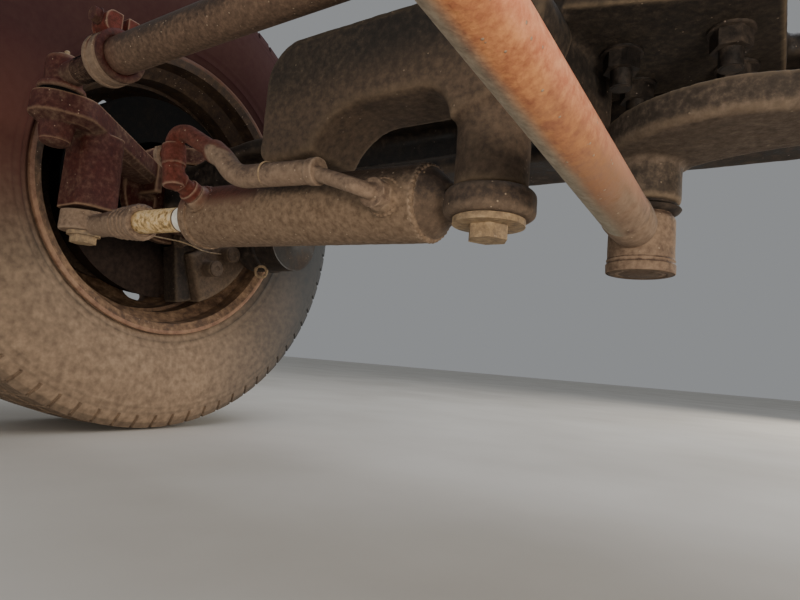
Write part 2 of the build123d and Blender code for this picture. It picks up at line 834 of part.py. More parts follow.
ports = (port_plane(left_port, left_port_angle), port_plane(right_port, right_port_angle))
with BuildPart() as barrel:
    with BuildSketch(cylinder_plane.offset(barrel_start)):
        Circle(barrel_radius)
    extrude(amount=barrel_end - barrel_start)
    with BuildSketch(cylinder_plane.offset(barrel_end - gland_length)):
        Circle(barrel_radius + 2)
    extrude(amount=gland_length)
    fillet(barrel.edges().sort_by(Axis.X)[0], end_round)
    for port in ports:
        with BuildSketch(port.offset(barrel_bore - 4)):
            Circle(port_root_radius)
        with BuildSketch(port.offset(port_height)):
            Circle(port_radius)
        loft()
    with BuildSketch(cylinder_plane.offset(barrel_start + cap_thickness)):
        Circle(barrel_bore)
    extrude(amount=barrel_end - gland_length - barrel_start - cap_thickness, mode=Mode.SUBTRACT)
    with BuildSketch(cylinder_plane.offset(barrel_end - gland_length - 1)):
        Circle(rod_radius + running_gap)
    extrude(amount=gland_length + 2, mode=Mode.SUBTRACT)
finish(barrel.part, "cylinder_barrel")

with BuildPart() as barrel_eye:
    with BuildSketch(Plane.XY.offset(ring_bottom)):
        with Locations((anchor_pin.X, anchor_pin.Y)):
            Circle(eye_radius)
    extrude(amount=eye_height)
    fillet(barrel_eye.edges(), eye_round)
    with BuildSketch(cylinder_plane.offset(eye_neck_start)):
        Circle(eye_neck_radius)
    with BuildSketch(cylinder_plane.offset(barrel_start)):
        Circle(barrel_radius - 2)
    loft()
    with BuildSketch(Plane.XY.offset(ring_bottom)):
        with Locations((anchor_pin.X, anchor_pin.Y)):
            Circle(anchor_radius + running_gap)
    extrude(amount=eye_height, mode=Mode.SUBTRACT)
finish(barrel_eye.part, "barrel_eye")

# the pipe runs from port to port in front of the barrel
left_seat, left_corner = (ports[0].offset(reach).origin for reach in (port_height, left_elbow))
right_corner, right_seat = (ports[1].offset(reach).origin for reach in (right_elbow, port_height))
front = left_corner.Y
crest = Vector(-356, front, -159)
shoulder = Vector(-329, front, -163)
dip = Vector(-262, front, -200)
foot = Vector(-236, front, -226)
sleeve_end = Vector(-127, front, -232)
sleeve_start = dip + (shoulder - dip) * 0.25
runs = (
    # points, bend radii, tube radius
    ((left_seat, left_corner, crest, shoulder, sleeve_start), (20, 12, 30), pipe_radius),
    ((sleeve_start, dip, foot, sleeve_end), (60, 50), sleeve_radius),
    ((sleeve_end, right_corner, right_seat), (14,), tail_radius),
)
with BuildPart() as pipe:
    for points, radii, tube_radius in runs:
        with BuildLine() as route:
            FilletPolyline(*points, radius=list(radii))
        with BuildSketch(Plane(origin=points[0], z_dir=points[1] - points[0])):
            Circle(tube_radius)
        sweep(path=route.line)
    riser = (crest - left_corner).normalized()
    plug_place = left_corner + riser * plug_rise
    plug_seat = plug_place - Vector(plug_reach - plug_head, 0, 0)
    # nuts and collars, then the forged elbow on the left with the neck of its plug
    for start, direction, length, radius in (
        (left_corner + riser * (block_drop + 2), riser, 26, union_radius),
        (sleeve_end, sleeve_end - foot, collar_length, union_radius),
        (left_seat, left_corner - left_seat, collar_length, union_radius),
        (right_seat, right_corner - right_seat, collar_length, union_radius),
        (left_corner - riser * block_drop, riser, 2 * block_drop, block_radius),
        (left_corner, left_seat - left_corner, block_drop, block_radius),
        (plug_place, plug_seat - plug_place, plug_reach - plug_head, plug_neck_radius),
    ):
        with BuildSketch(Plane(origin=start, z_dir=direction)):
            Circle(radius)
        extrude(amount=length)
    with BuildSketch(Plane(origin=plug_seat, x_dir=(0, 1, 0), z_dir=plug_seat - plug_place)):
        RegularPolygon(plug_flats / 2, 6, major_radius=False)
    extrude(amount=plug_head)
finish(pipe.part, "cylinder_pipe")

with BuildPart() as piston_rod:
    with BuildSketch(cylinder_plane.offset(rod_inner_end)):
        Circle(rod_radius)
    extrude(amount=clamp_start + rod_socket_depth - rod_inner_end)
finish(piston_rod.part, "piston_rod")

rod_ring_bottom = rod_ring - rod_eye_height / 2
with BuildPart() as rod_eye:
    with BuildSketch(Plane.XY.offset(rod_ring_bottom)):
        with Locations((rod_pin.X, rod_pin.Y)):
            Circle(rod_eye_radius)
    extrude(amount=rod_eye_height)
    with BuildSketch(cylinder_plane.offset(clamp_start)):
        Circle(rod_socket_radius)
    with BuildSketch(cylinder_plane.offset(pin_distance - rod_eye_radius + 6)):
        Circle(rod_neck_radius)
    loft()
    with BuildSketch(cylinder_plane.offset(clamp_start - 1)):
        Circle(rod_radius + running_gap)
    extrude(amount=rod_socket_depth + 1 + face_gap, mode=Mode.SUBTRACT)
finish(rod_eye.part, "rod_eye")

with BuildPart() as rod_bolt:
    with BuildSketch(Plane.XY.offset(rod_ring_bottom - washer_height)):
        with Locations((rod_pin.X, rod_pin.Y)):
            Circle(rod_washer_radius)
    extrude(amount=washer_height)
    with BuildSketch(Plane.XY.offset(rod_ring_bottom - washer_height - rod_head)):
        with Locations((rod_pin.X, rod_pin.Y)):
            RegularPolygon(rod_flats / 2, 6, major_radius=False)
    extrude(amount=rod_head)
finish(rod_bolt.part, "rod_bolt")

# drag link and its arm on the right-hand knuckle
drag_top = lower_ear
drag_bottom = drag_top - drag_arm_thickness
socket_bottom = drag_bottom - drag_socket_depth
with BuildPart() as drag_arm:
    with BuildSketch(Plane.XY.offset(drag_bottom)):
        with BuildLine():
            ThreePointArc((110, -196), (166, -270), (270, -279))
            Line((270, -279), (420, -270))
            ThreePointArc((420, -270), (620, -196), (kingpin_x - 26, -42))
            Line((kingpin_x - 26, -42), (kingpin_x - 40, 28))
            ThreePointArc((kingpin_x - 40, 28), (600, -112), (420, -184))
            Line((420, -184), (286, -192))
            ThreePointArc((286, -192), (226, -184), (188, -166))
            Line((188, -166), (110, -196))
        make_face()
    extrude(amount=drag_arm_thickness)
    fillet(drag_arm.faces().sort_by(Axis.Z)[0].edges().filter_by(GeomType.CIRCLE), drag_arm_round)
    with BuildSketch(Plane.XY.offset(drag_bottom)):
        with Locations((kingpin_x, 0)):
            Circle(ear_radius)
        with Locations((drag_ball.X, drag_ball.Y)):
            Circle(drag_boss_radius)
    extrude(amount=drag_arm_thickness)
    with BuildSketch(Plane.XY.offset(socket_bottom)):
        with Locations((drag_ball.X, drag_ball.Y)):
            Circle(drag_socket_radius)
    extrude(amount=drag_socket_depth)
    with BuildSketch(Plane.XY.offset(drag_top)):
        with Locations((drag_ball.X, drag_ball.Y)):
            RegularPolygon(stud_nut_flats / 2, 6, major_radius=False)
    extrude(amount=stud_nut_height)
finish(drag_arm.part, "drag_link_arm")

drag_direction = Vector(drag_shift, -drag_length, drag_rise).normalized()
drag_plane = Plane(origin=drag_ball, x_dir=(1, 0, 0), z_dir=drag_direction)
with BuildPart() as drag_tube:
    with BuildSketch(drag_plane.offset(60)):
        Circle(drag_radius)
    extrude(amount=drag_length - 120)
finish(drag_tube.part, "drag_link_tube")

# at each end a ball joint: housing, neck towards the stud and shank into the tube
front_low = drag_ball.Z - drag_housing_drop - drag_housing_height / 2
with BuildPart() as drag_end:
    with BuildSketch(Plane.XY.offset(front_low)):
        with Locations((drag_ball.X, drag_ball.Y)):
            Circle(drag_housing_radius)
    extrude(amount=drag_housing_height)
    fillet(drag_end.edges(), drag_housing_round)
    with BuildSketch(Plane.XY.offset(front_low + drag_housing_height)):
        with Locations((drag_ball.X, drag_ball.Y)):
            Circle(drag_boot_radius)
    extrude(amount=socket_bottom - face_gap - front_low - drag_housing_height)
    with BuildSketch(drag_plane.offset(20)):
        Circle(drag_shank_radius)
    extrude(amount=40)
finish(drag_end.part, "drag_link_front_end")

rear_ball = drag_ball + drag_direction * drag_length
rear_low = rear_ball.Z - drag_housing_drop - drag_housing_height / 2
with BuildPart() as drag_rear:
    with BuildSketch(Plane.XY.offset(rear_low)):
        with Locations((rear_ball.X, rear_ball.Y)):
            Circle(drag_housing_radius)
    extrude(amount=drag_housing_height)
    fillet(drag_rear.edges(), drag_housing_round)
    with BuildSketch(Plane.XY.offset(rear_low + drag_housing_height)):
        with Locations((rear_ball.X, rear_ball.Y)):
            Circle(ball_stud_radius)
    extrude(amount=ball_stud_length)
    with BuildSketch(drag_plane.offset(drag_length - 60)):
        Circle(drag_shank_radius)
    extrude(amount=40)
finish(drag_rear.part, "drag_link_rear_end")
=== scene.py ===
# Dressed view of a steered sweeper axle: tyres, wheels, knuckles, tie rod, cylinder and drag link.
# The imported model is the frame; every size here is in metres unless a name or a comment says millimetres.
import json
from functools import partial
from math import cos, pi, radians, sin

import bmesh
import bpy
import numpy as np
from mathutils import Matrix, Vector

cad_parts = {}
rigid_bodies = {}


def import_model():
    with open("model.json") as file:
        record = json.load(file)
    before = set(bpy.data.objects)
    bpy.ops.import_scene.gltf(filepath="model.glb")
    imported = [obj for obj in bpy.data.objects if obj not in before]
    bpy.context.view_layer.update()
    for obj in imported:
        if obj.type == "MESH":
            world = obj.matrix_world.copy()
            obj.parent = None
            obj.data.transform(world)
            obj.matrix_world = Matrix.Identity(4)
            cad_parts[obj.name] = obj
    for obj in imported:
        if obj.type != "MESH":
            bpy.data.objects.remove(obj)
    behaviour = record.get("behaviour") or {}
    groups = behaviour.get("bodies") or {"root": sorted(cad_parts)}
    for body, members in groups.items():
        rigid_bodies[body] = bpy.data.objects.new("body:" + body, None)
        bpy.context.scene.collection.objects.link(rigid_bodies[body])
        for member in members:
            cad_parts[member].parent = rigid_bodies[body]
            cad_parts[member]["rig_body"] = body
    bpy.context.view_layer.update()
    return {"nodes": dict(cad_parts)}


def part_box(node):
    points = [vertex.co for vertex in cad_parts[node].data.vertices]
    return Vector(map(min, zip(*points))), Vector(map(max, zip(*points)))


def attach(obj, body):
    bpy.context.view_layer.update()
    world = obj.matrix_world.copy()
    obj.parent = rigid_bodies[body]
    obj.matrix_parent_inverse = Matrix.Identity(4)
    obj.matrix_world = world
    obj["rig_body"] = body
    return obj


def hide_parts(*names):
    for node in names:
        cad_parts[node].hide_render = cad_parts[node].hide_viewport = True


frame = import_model()
nodes = frame["nodes"]
mm = 0.001


def report(stage):
    print("stage:", stage)


# colours and shader nodes
def linear(code):
    # sRGB hex to linear light: the usual 2.4 power above the toe
    channels = np.array([int(code[i : i + 2], 16) / 255 for i in (0, 2, 4)])
    low = channels / 12.92
    high = ((channels + 0.055) / 1.055) ** 2.4
    return (*np.where(channels <= 0.04045, low, high), 1.0)


def addNode(tree, kind, inputs=None, stops=(), **settings):
    # one node with its settings, its inputs and the stops of a ramp, as (place, hex colour);
    # a node given as an input stands for its first output in use
    node = tree.nodes.new("ShaderNode" + kind)
    for name, value in settings.items():
        setattr(node, name, value)
    for name, value in (inputs or {}).items():
        if isinstance(value, bpy.types.Node):
            value = next(output for output in value.outputs if output.enabled)
        if isinstance(value, bpy.types.NodeSocket):
            tree.links.new(value, node.inputs[name])
        else:
            node.inputs[name].default_value = value
    if stops:
        elements = node.color_ramp.elements
        while len(elements) < len(stops):
            elements.new(0.5)
        for element, (place, code) in zip(elements, stops):
            element.position = place
            element.color = linear(code)
    return node


def newMaterial(name):
    # an empty material, the function that adds nodes to it, and the object's own coordinates
    material = bpy.data.materials.new(name)
    material.use_nodes = True
    tree = material.node_tree
    tree.nodes.clear()
    add = partial(addNode, tree)
    return material, add, add("TexCoord").outputs["Object"]


def perMetre(millimetres):
    # a texture scale whose features are about that many millimetres across
    return 1.0 / (millimetres * mm)


def grimySurface(name, look):
    # Paint or bare metal under road dust. Broad drifts and small clods lay the dust, pale grains
    # stick in it, and faces that look down get more of it, as road spray and as painted light from
    # below. Dust takes the gloss off and stands proud as a crust.
    material, add, coords = newMaterial(name)
    drift = add("TexNoise", {"Vector": coords, "Scale": perMetre(look["driftMm"]), "Detail": 3.0})
    clods = add("TexNoise", {"Vector": coords, "Scale": perMetre(look["clodMm"]), "Detail": 6.0, "Roughness": 0.65})
    grit = add("TexVoronoi", {"Vector": coords, "Scale": perMetre(look["gritMm"])}).outputs["Distance"]
    base = add("ValToRGB", {"Fac": clods}, list(zip((0.30, 0.70), look["base"])))
    dust = add("ValToRGB", {"Fac": clods}, list(zip((0.28, 0.50, 0.74), look["dust"])))
    geometry = add("NewGeometry").outputs
    facing, pointed = geometry["Normal"], geometry["Pointiness"]
    upward = add("SeparateXYZ", {"Vector": facing}).outputs["Z"]
    # faces that look down are paler and faces that look up darker: road spray, and painted light from below
    down = add("MapRange", {"Value": upward, "From Min": 0.6, "From Max": -0.6,
                            "To Min": -look["spray"], "To Max": look["spray"]})
    laid = add("Math", {0: drift, 1: clods}, operation="ADD")
    laid = add("Math", {0: laid, 1: down}, operation="ADD")
    # the two noises add up to about 1 on average, which is where half of the surface is covered
    centre = 1.0 + (0.5 - look["dustShare"]) * 0.5
    cover = add("MapRange", {"Value": laid, "From Min": centre - look["edge"], "From Max": centre + look["edge"]},
                interpolation_type="SMOOTHSTEP")
    colour = add("Mix", {"Factor": cover, 6: base, 7: dust}, data_type="RGBA")
    for zone in look["zones"]:
        # a zone of colour that shows only in part of the object, fading along one axis of the frame; it lays paint,
        # dust, painted light or painted shade
        axis = add("SeparateXYZ", {"Vector": coords}).outputs[zone["axis"]]
        wander = add("MapRange", {"Value": drift, "To Min": -zone["wander"], "To Max": zone["wander"]})
        place = add("Math", {0: axis, 1: zone["weight"], 2: wander}, operation="MULTIPLY_ADD")
        # it reaches further on faces turned one way, as sprayed paint does, and as painted light from one side does
        turn = add("VectorMath", {0: facing, 1: zone["lean"]}, operation="DOT_PRODUCT")
        place = add("Math", {0: place, 1: turn}, operation="ADD")
        share = add("MapRange", {"Value": place, "From Min": zone["start"], "From Max": zone["end"],
                                 "To Max": zone["strength"]}, interpolation_type="SMOOTHSTEP")
        patchy = add("ValToRGB", {"Fac": clods}, [(0.36, zone["light"]), (0.64, zone["dark"])])
        colour = add("Mix", {"Factor": share, 6: colour, 7: patchy}, data_type="RGBA")
    # edges that stick out are pale on the finely meshed castings and forgings: rubbed and dusty, and a painted
    # highlight along them
    edges = add("MapRange", {"Value": pointed, "From Min": 0.506, "From Max": 0.55, "To Max": look["edgeShare"]})
    fine = add("Attribute", attribute_name="fineMesh").outputs["Fac"]
    edges = add("Math", {0: edges, 1: fine}, operation="MULTIPLY")
    colour = add("Mix", {"Factor": edges, 6: colour, 7: linear(look["edgeColour"])}, data_type="RGBA")
    # pale grains: small cells of a sparse pattern, each with its own chance of holding one
    grains = add("TexVoronoi", {"Vector": coords, "Scale": perMetre(look["grainMm"] * 3)}).outputs
    chance = add("SeparateColor", {"Color": grains["Color"]})
    spot = add("MapRange", {"Value": grains["Distance"], "From Min": 0.22, "From Max": 0.14})
    held = add("Math", {0: chance, 1: 1.0 - look["grainShare"]}, operation="GREATER_THAN")
    shown = add("Math", {0: spot, 1: held}, operation="MULTIPLY")
    colour = add("Mix", {"Factor": shown, 6: colour, 7: linear(look["grainColour"])}, data_type="RGBA")
    roughness = add("MapRange", {"Value": cover, "To Min": look["roughBase"], "To Max": look["roughDust"]})
    crust = add("Bump", {"Height": clods, "Strength": look["crust"], "Distance": look["crustMm"] * mm})
    skin = add("Bump", {"Height": grit, "Strength": look["gritBump"], "Distance": look["gritMm"] * 0.3 * mm,
                        "Normal": crust})
    proud = add("Bump", {"Height": shown, "Strength": 0.6, "Distance": 0.8 * mm, "Normal": skin})
    shader = add("BsdfPrincipled", {"Base Color": colour, "Roughness": roughness, "Metallic": look["metallic"],
                                    "Specular IOR Level": look["specular"], "Normal": proud})
    add("OutputMaterial", {"Surface": shader})
    return material


def colourZone(axis, start, end, wander, strength, light, dark, weight=1.0, lean=(0, 0, 0)):
    # one zone of colour over part of an object, whether paint, dust, painted light or painted shade: where it
    # starts and ends along an axis of the frame (0 to 2), in metres times the weight, how far its edge wanders, its
    # strength, its two colours, and how far a face's normal along the lean shifts it
    return {"axis": axis, "start": start, "end": end, "wander": wander, "strength": strength,
            "light": light, "dark": dark, "weight": weight, "lean": lean}


# every look is road dust on something; sizes in mm, shares and strengths from 0 to 1,
# the base's colours from dark to light, and the dust's
roadDustLook = {
    "driftMm": 90, "clodMm": 6, "gritMm": 2.4, "edge": 0.30, "dustShare": 0.72, "spray": 0.35,
    "base": ("463830", "5e4b3f"), "dust": ("766150", "84705e", "947f6b"),
    "grainMm": 1.7, "grainShare": 0.12, "grainColour": "a3917b", "metallic": 0.0, "specular": 0.3,
    "roughBase": 0.55, "roughDust": 0.95, "crust": 0.45, "crustMm": 1.4, "gritBump": 0.3,
    "edgeShare": 0.45, "edgeColour": "ab9680", "zones": [],
}
castingLook = {
    **roadDustLook, "driftMm": 200, "clodMm": 7, "dustShare": 0.40, "spray": 0.25,
    "base": ("1f1c19", "292420"), "dust": ("342c26", "41382f", "52473c"),
    "grainShare": 0.04, "grainColour": "7d6e5e", "roughBase": 0.75, "crustMm": 0.9,
    "edgeShare": 0.5, "edgeColour": "8a7861",
}
oversprayLook = {
    **roadDustLook, "driftMm": 70, "clodMm": 9, "dustShare": 0.30, "spray": 0.25,
    "base": ("32120e", "52211a"), "dust": ("402a23", "574337", "755f4f"),
    "grainShare": 0.05, "grainColour": "a08a74", "roughBase": 0.62, "crustMm": 0.8,
    "edgeShare": 0.85, "edgeColour": "94785f",
}
blackLook = {
    **roadDustLook, "driftMm": 120, "clodMm": 14, "dustShare": 0.30, "spray": 0.2,
    "base": ("151312", "211e1c"), "dust": ("2d2723", "3f362f", "564b41"),
    "grainShare": 0.05, "grainColour": "81746a", "roughBase": 0.45, "crustMm": 0.5,
    "edgeShare": 0.4, "edgeColour": "6b5e50",
}
zincLook = {
    **roadDustLook, "driftMm": 60, "clodMm": 7, "dustShare": 0.75, "spray": 0.12,
    "base": ("6b5f50", "96897a"), "dust": ("7a6650", "9a8467", "b9a282"),
    "roughBase": 0.5, "crustMm": 0.4, "metallic": 0.1,
}
# the wheel's inner recess: a near-black base as painted shade, and a low specular level to keep it dark; browner
# lower down, where the painted shade eases
pitShadeLook = {
    **roadDustLook, "driftMm": 90, "clodMm": 12, "dustShare": 0.10, "spray": 0.0, "specular": 0.1,
    "base": ("040506", "08090b"), "dust": ("0d0c0c", "15120f", "1f1a16"),
    "grainShare": 0.02, "grainColour": "3a332c", "roughBase": 0.8, "crustMm": 0.4,
    "edgeShare": 0.5, "edgeColour": "2c2723",
    "zones": [colourZone(2, -0.16, -0.26, 0.02, 0.9, "241c18", "352a24")],
}
wheelLook = {
    **roadDustLook, "driftMm": 110, "clodMm": 16, "dustShare": 0.45, "spray": 0.0,
    "base": ("46352b", "5f4839"), "dust": ("5e4a3b", "80664f", "9c8066"),
    # the rim's upper part is darker, as painted shade
    "roughBase": 0.5, "crustMm": 0.6, "zones": [colourZone(2, -0.24, -0.04, 0.03, 0.72, "17110e", "261c17")],
}

roadDust = grimySurface("chassis enamel under road dust", roadDustLook)
# red primer lies on the left end of the barrel; underneath it is paler, as dust and painted light from below, and
# its top keeps the dark base as painted shadow of the pipe above
barrelDustAndShade = grimySurface("cylinder enamel under road dust, painted shade on top", {
    **roadDustLook, "spray": 0.45, "base": ("33281f", "483a30"),
    "zones": [colourZone(0, -0.215, -0.27, 0.03, 0.8, "643a2f", "43211b"),
              # paler below: dust, and painted light from below
              colourZone(2, -0.226, -0.250, 0.008, 0.92, "655342", "8a7560")]})
# a drawn tube is smooth: thin dust, and red primer at its left end
tieDust = grimySurface("drawn tube under road dust", {
    **roadDustLook, "dustShare": 0.45, "base": ("33271f", "43352c"), "dust": ("4e3f34", "655244", "7d6755"),
    "zones": [colourZone(0, -0.47, -0.56, 0.05, 0.55, "7c4234", "57261e")]})
clampDust = grimySurface("clamp with red lugs under dust", {
    **roadDustLook, "zones": [colourZone(2, -0.022, 0.004, 0.008, 0.95, "602218", "3e1712")]})
# the link is red towards the rear, as fresh primer; brighter at its upper right as a painted highlight; and pale
# grey on its left, as dust with painted sky light
linkDustAndLight = grimySurface("drag link tube, oxide red to dust, with painted light", {
    **roadDustLook, "driftMm": 55, "clodMm": 9, "spray": 0.12, "grainShare": 0.2,
    "zones": [colourZone(1, -0.24, -0.52, 0.10, 0.85, "d8945f", "a05c3d"),
              # a painted highlight, as of light from the right
              colourZone(1, 3.1, 5.0, 0.25, 0.85, "f5b08c", "e08a68", weight=-4.0, lean=(2.5, 1.6, 0.4)),
              # pale grey: dust, and painted sky light on the left side
              colourZone(1, 0.15, 1.5, 0.25, 0.9, "b0a793", "8d8473", lean=(-2.43, -1.5, -0.9))]})
# the pipe's sleeve is red on top, and its left end all round with a sharp edge
pipeDust = grimySurface("steel pipe with red overspray", {
    **roadDustLook, "spray": 0.2,
    "zones": [colourZone(0, -0.285, -0.300, 0.008, 0.85, "6b3c30", "4a241c", lean=(0, 0, -0.065)),
              colourZone(0, -0.274, -0.281, 0.001, 0.9, "663126", "471f17")]})
# sand castings keep a dull grain; they are paler low down, and darker at the top as painted shade
castIron = grimySurface("sand cast iron under dust", {
    **castingLook, "zones": [colourZone(2, -0.10, -0.165, 0.02, 0.75, "4e4035", "6b5949"),
                             colourZone(2, -0.13, -0.02, 0.03, 0.6, "1d1917", "2a2420")]})
overspray = grimySurface("red oxide overspray on forgings", oversprayLook)
ringPaint = grimySurface("red oxide on the gaiter's ring", {
    **oversprayLook, "base": ("47271f", "64392e"), "dust": ("544136", "6f594a", "755f4f")})
# the arm is pale underneath and darker on top: dust, and painted light from below
armIron = grimySurface("forged arm, pale underneath with dust and painted light", {
    **castingLook, "dustShare": 0.42, "spray": 0.7, "base": ("302a24", "3b332c"),
    "dust": ("483d34", "5c5045", "716356")})
carrierIron = grimySurface("brake carrier, brown with brake dust", {
    **castingLook, "dustShare": 0.5, "base": ("1d1815", "2a221d"),
    "dust": ("2c241e", "3a3028", "4a3e34"), "edgeShare": 0.25})
eyeDust = grimySurface("cast eye under damp dust", {
    **roadDustLook, "base": ("362d27", "433831"), "dust": ("4c3e34", "5d4e41", "6f5d4d")})
blackEnamel = grimySurface("black chassis enamel", blackLook)
zincSteel = grimySurface("dull zinc plated steel", zincLook)
wheelEnamel = grimySurface("rusted wheel enamel, painted shade above", wheelLook)
# the rim's rolled edge: pale as rubbed enamel and as a painted highlight; its upper part dark red, as painted shade
# with a painted red reflection
lipEnamelAndLight = grimySurface("rubbed enamel of the rim's edge", {
    **wheelLook, "dustShare": 0.4, "base": ("6f4f3d", "9c755b"), "dust": ("6a5242", "8f7460", "9c8066"),
    "zones": [colourZone(2, -0.22, 0.02, 0.05, 0.85, "2b1a16", "4a2a22")]})
# near-black iron: painted shade of the wheel's recess
brakeBlackAndShade = grimySurface("black iron in brake dust, near-black as painted shade", pitShadeLook)

# the rod's clean band beside the seal, painted white as a reflection, and the line of dirt at its edge, in metres
# along x
rodBand = {"dirtStart": -0.4375, "bandEnd": -0.4225, "clean": "fffef6"}


def chromePlate(name, band):
    # Hard chrome on a ground rod, its reflections painted into the colour: bright and warm with painted highlights
    # where it is clean, dull in a film of dust.
    material, add, coords = newMaterial(name)
    filmAndGlints = add("TexNoise", {"Vector": coords, "Scale": perMetre(7), "Detail": 5.0, "Roughness": 0.6})
    # the brightest stops are painted highlights, the darkest a film of dust
    colour = add("ValToRGB", {"Fac": filmAndGlints}, [(0.34, "fffbee"), (0.50, "e2cfa8"), (0.62, "93805c")])
    along = add("SeparateXYZ", {"Vector": coords}).outputs["X"]
    reach = add("MapRange", {"Value": along, "From Min": band["dirtStart"], "From Max": band["bandEnd"]})
    dirt = add("ValToRGB", {"Fac": reach},
               [(0.30, "f3e2c6"), (0.42, "6a5236"), (0.55, "6a5236"), (0.62, "ffffff")])
    # the wiped band beside the seal is painted near white, as a painted reflection on the clean chrome
    clean = add("MapRange", {"Value": reach, "From Min": 0.55, "From Max": 0.62, "To Max": 0.8})
    colour = add("Mix", {"Factor": 1.0, 6: colour, 7: dirt}, data_type="RGBA", blend_type="MULTIPLY")
    colour = add("Mix", {"Factor": clean, 6: colour, 7: linear(band["clean"])}, data_type="RGBA")
    rough = add("MapRange", {"Value": filmAndGlints, "From Min": 0.35, "From Max": 0.65, "To Min": 0.2, "To Max": 0.6})
    shader = add("BsdfPrincipled", {"Base Color": colour, "Metallic": 0.1, "Roughness": rough})
    add("OutputMaterial", {"Surface": shader})
    return material


def tyreRubber(name):
    # Carbon black rubber: matt, with brown dust in its hollows and a cleaner tread.
    material, add, coords = newMaterial(name)
    patches = add("TexNoise", {"Vector": coords, "Scale": perMetre(120), "Detail": 6.0, "Roughness": 0.65})
    scuffs = add("TexNoise", {"Vector": coords, "Scale": perMetre(12), "Detail": 4.0})
    relief = add("Attribute", attribute_name="relief").outputs["Fac"]
    x, y, z = add("SeparateXYZ", {"Vector": coords}).outputs
    low = add("MapRange", {"Value": z, "From Min": -0.15, "From Max": -0.48})
    amount = add("Math", {0: patches, 1: low}, operation="ADD")
    dusted = add("ValToRGB", {"Fac": scuffs}, [(0.3, "7c6958"), (0.7, "a28b74")])
    rubber = add("ValToRGB", {"Fac": scuffs}, [(0.3, "35302b"), (0.7, "463f38")])
    cover = add("MapRange", {"Value": amount, "From Min": 0.35, "From Max": 1.35, "To Min": 0.25, "To Max": 0.95})
    worn = add("Math", {0: relief, 1: 0.35}, operation="MULTIPLY")
    share = add("Math", {0: cover, 1: worn}, operation="SUBTRACT", use_clamp=True)
    colour = add("Mix", {"Factor": share, 6: rubber, 7: dusted}, data_type="RGBA")
    # the back has cleaner, greyer rubber
    back = add("MapRange", {"Value": y, "From Min": 0.08, "From Max": 0.40, "To Max": 0.85})
    colour = add("Mix", {"Factor": back, 6: colour, 7: linear("3e4448")}, data_type="RGBA")
    # painted shade lies on the upper part, reaches lower at the front and darkens upwards, with a painted red
    # reflection of the steering in it; only the inner sides, which face the red steering, carry it
    height = add("Math", {0: y, 1: -0.25, 2: z}, operation="MULTIPLY_ADD")
    high = add("MapRange", {"Value": height, "From Min": -0.22, "From Max": 0.03, "To Max": 0.9},
               interpolation_type="SMOOTHSTEP")
    outward = add("Math", {0: x}, operation="ABSOLUTE")
    inner = add("MapRange", {"Value": outward, "From Min": 0.88, "From Max": 0.84})
    paintedShadeMask = add("Math", {0: high, 1: inner}, operation="MULTIPLY")
    shadeRise = add("MapRange", {"Value": z, "From Min": -0.22, "From Max": 0.10})
    # the painted shade's colours: a painted red reflection low, near-black painted shade higher up
    oxide = add("Mix", {"Factor": shadeRise, 6: linear("66392d"), 7: linear("331417")}, data_type="RGBA")
    colour = add("Mix", {"Factor": paintedShadeMask, 6: colour, 7: oxide}, data_type="RGBA")
    bump = add("Bump", {"Height": scuffs, "Strength": 0.35, "Distance": 1.2 * mm})
    shader = add("BsdfPrincipled", {"Base Color": colour, "Roughness": 0.85, "Specular IOR Level": 0.2,
                                    "Normal": bump})
    add("OutputMaterial", {"Surface": shader})
    return material


chrome = chromePlate("hard chrome plate", rodBand)
rubber = tyreRubber("tyre rubber under road dust")
report("materials")


# mesh building
def finishMesh(name, mesh, material, smoothAngle):
    # merge seams and poles, point the faces outwards and shade smooth between sharp edges
    work = bmesh.new()
    work.from_mesh(mesh)
    bmesh.ops.remove_doubles(work, verts=work.verts, dist=2e-6)
    bmesh.ops.recalc_face_normals(work, faces=work.faces)
    work.to_mesh(mesh)
    work.free()
    mesh.polygons.foreach_set("use_smooth", np.ones(len(mesh.polygons), bool))
    mesh.set_sharp_from_angle(angle=radians(smoothAngle))
    mesh.materials.clear()
    mesh.materials.append(material)
    piece = bpy.data.objects.new(name, mesh)
    bpy.context.scene.collection.objects.link(piece)
    return piece


def surfaceMesh(name, surfaces, relief=None):
    # each surface is a grid of points; neighbouring grid points become quads, and relief is a value per point
    points, quads, start = [], [], 0
    for surface in surfaces:
        rows, columns = surface.shape[:2]
        index = np.arange(rows * columns).reshape(rows, columns) + start
        corners = (index[:-1, :-1], index[1:, :-1], index[1:, 1:], index[:-1, 1:])
        quads.append(np.stack(corners, axis=-1).reshape(-1, 4))
        points.append(surface.reshape(-1, 3))
        start += rows * columns
    points, quads = np.concatenate(points), np.concatenate(quads)
    mesh = bpy.data.meshes.new(name)
    mesh.vertices.add(len(points))
    mesh.vertices.foreach_set("co", points.astype(np.float32).ravel())
    mesh.loops.add(quads.size)
    mesh.loops.foreach_set("vertex_index", quads.astype(np.int32).ravel())
    mesh.polygons.add(len(quads))
    mesh.polygons.foreach_set("loop_start", np.arange(0, quads.size, 4, dtype=np.int32))
    mesh.update(calc_edges=True)
    if relief is not None:
        layer = mesh.attributes.new("relief", "FLOAT", "POINT")
        layer.data.foreach_set("value", relief.astype(np.float32).ravel())
    return mesh


def frameOf(axis):
    # the axis at length 1 and two unit vectors square to it
    axis = np.array(axis, float) / np.linalg.norm(axis)
    helper = np.array([0, 0, 1.0]) if abs(axis[2]) < 0.9 else np.array([1.0, 0, 0])
    first = np.cross(helper, axis)
    first /= np.linalg.norm(first)
    return axis, first, np.cross(axis, first)


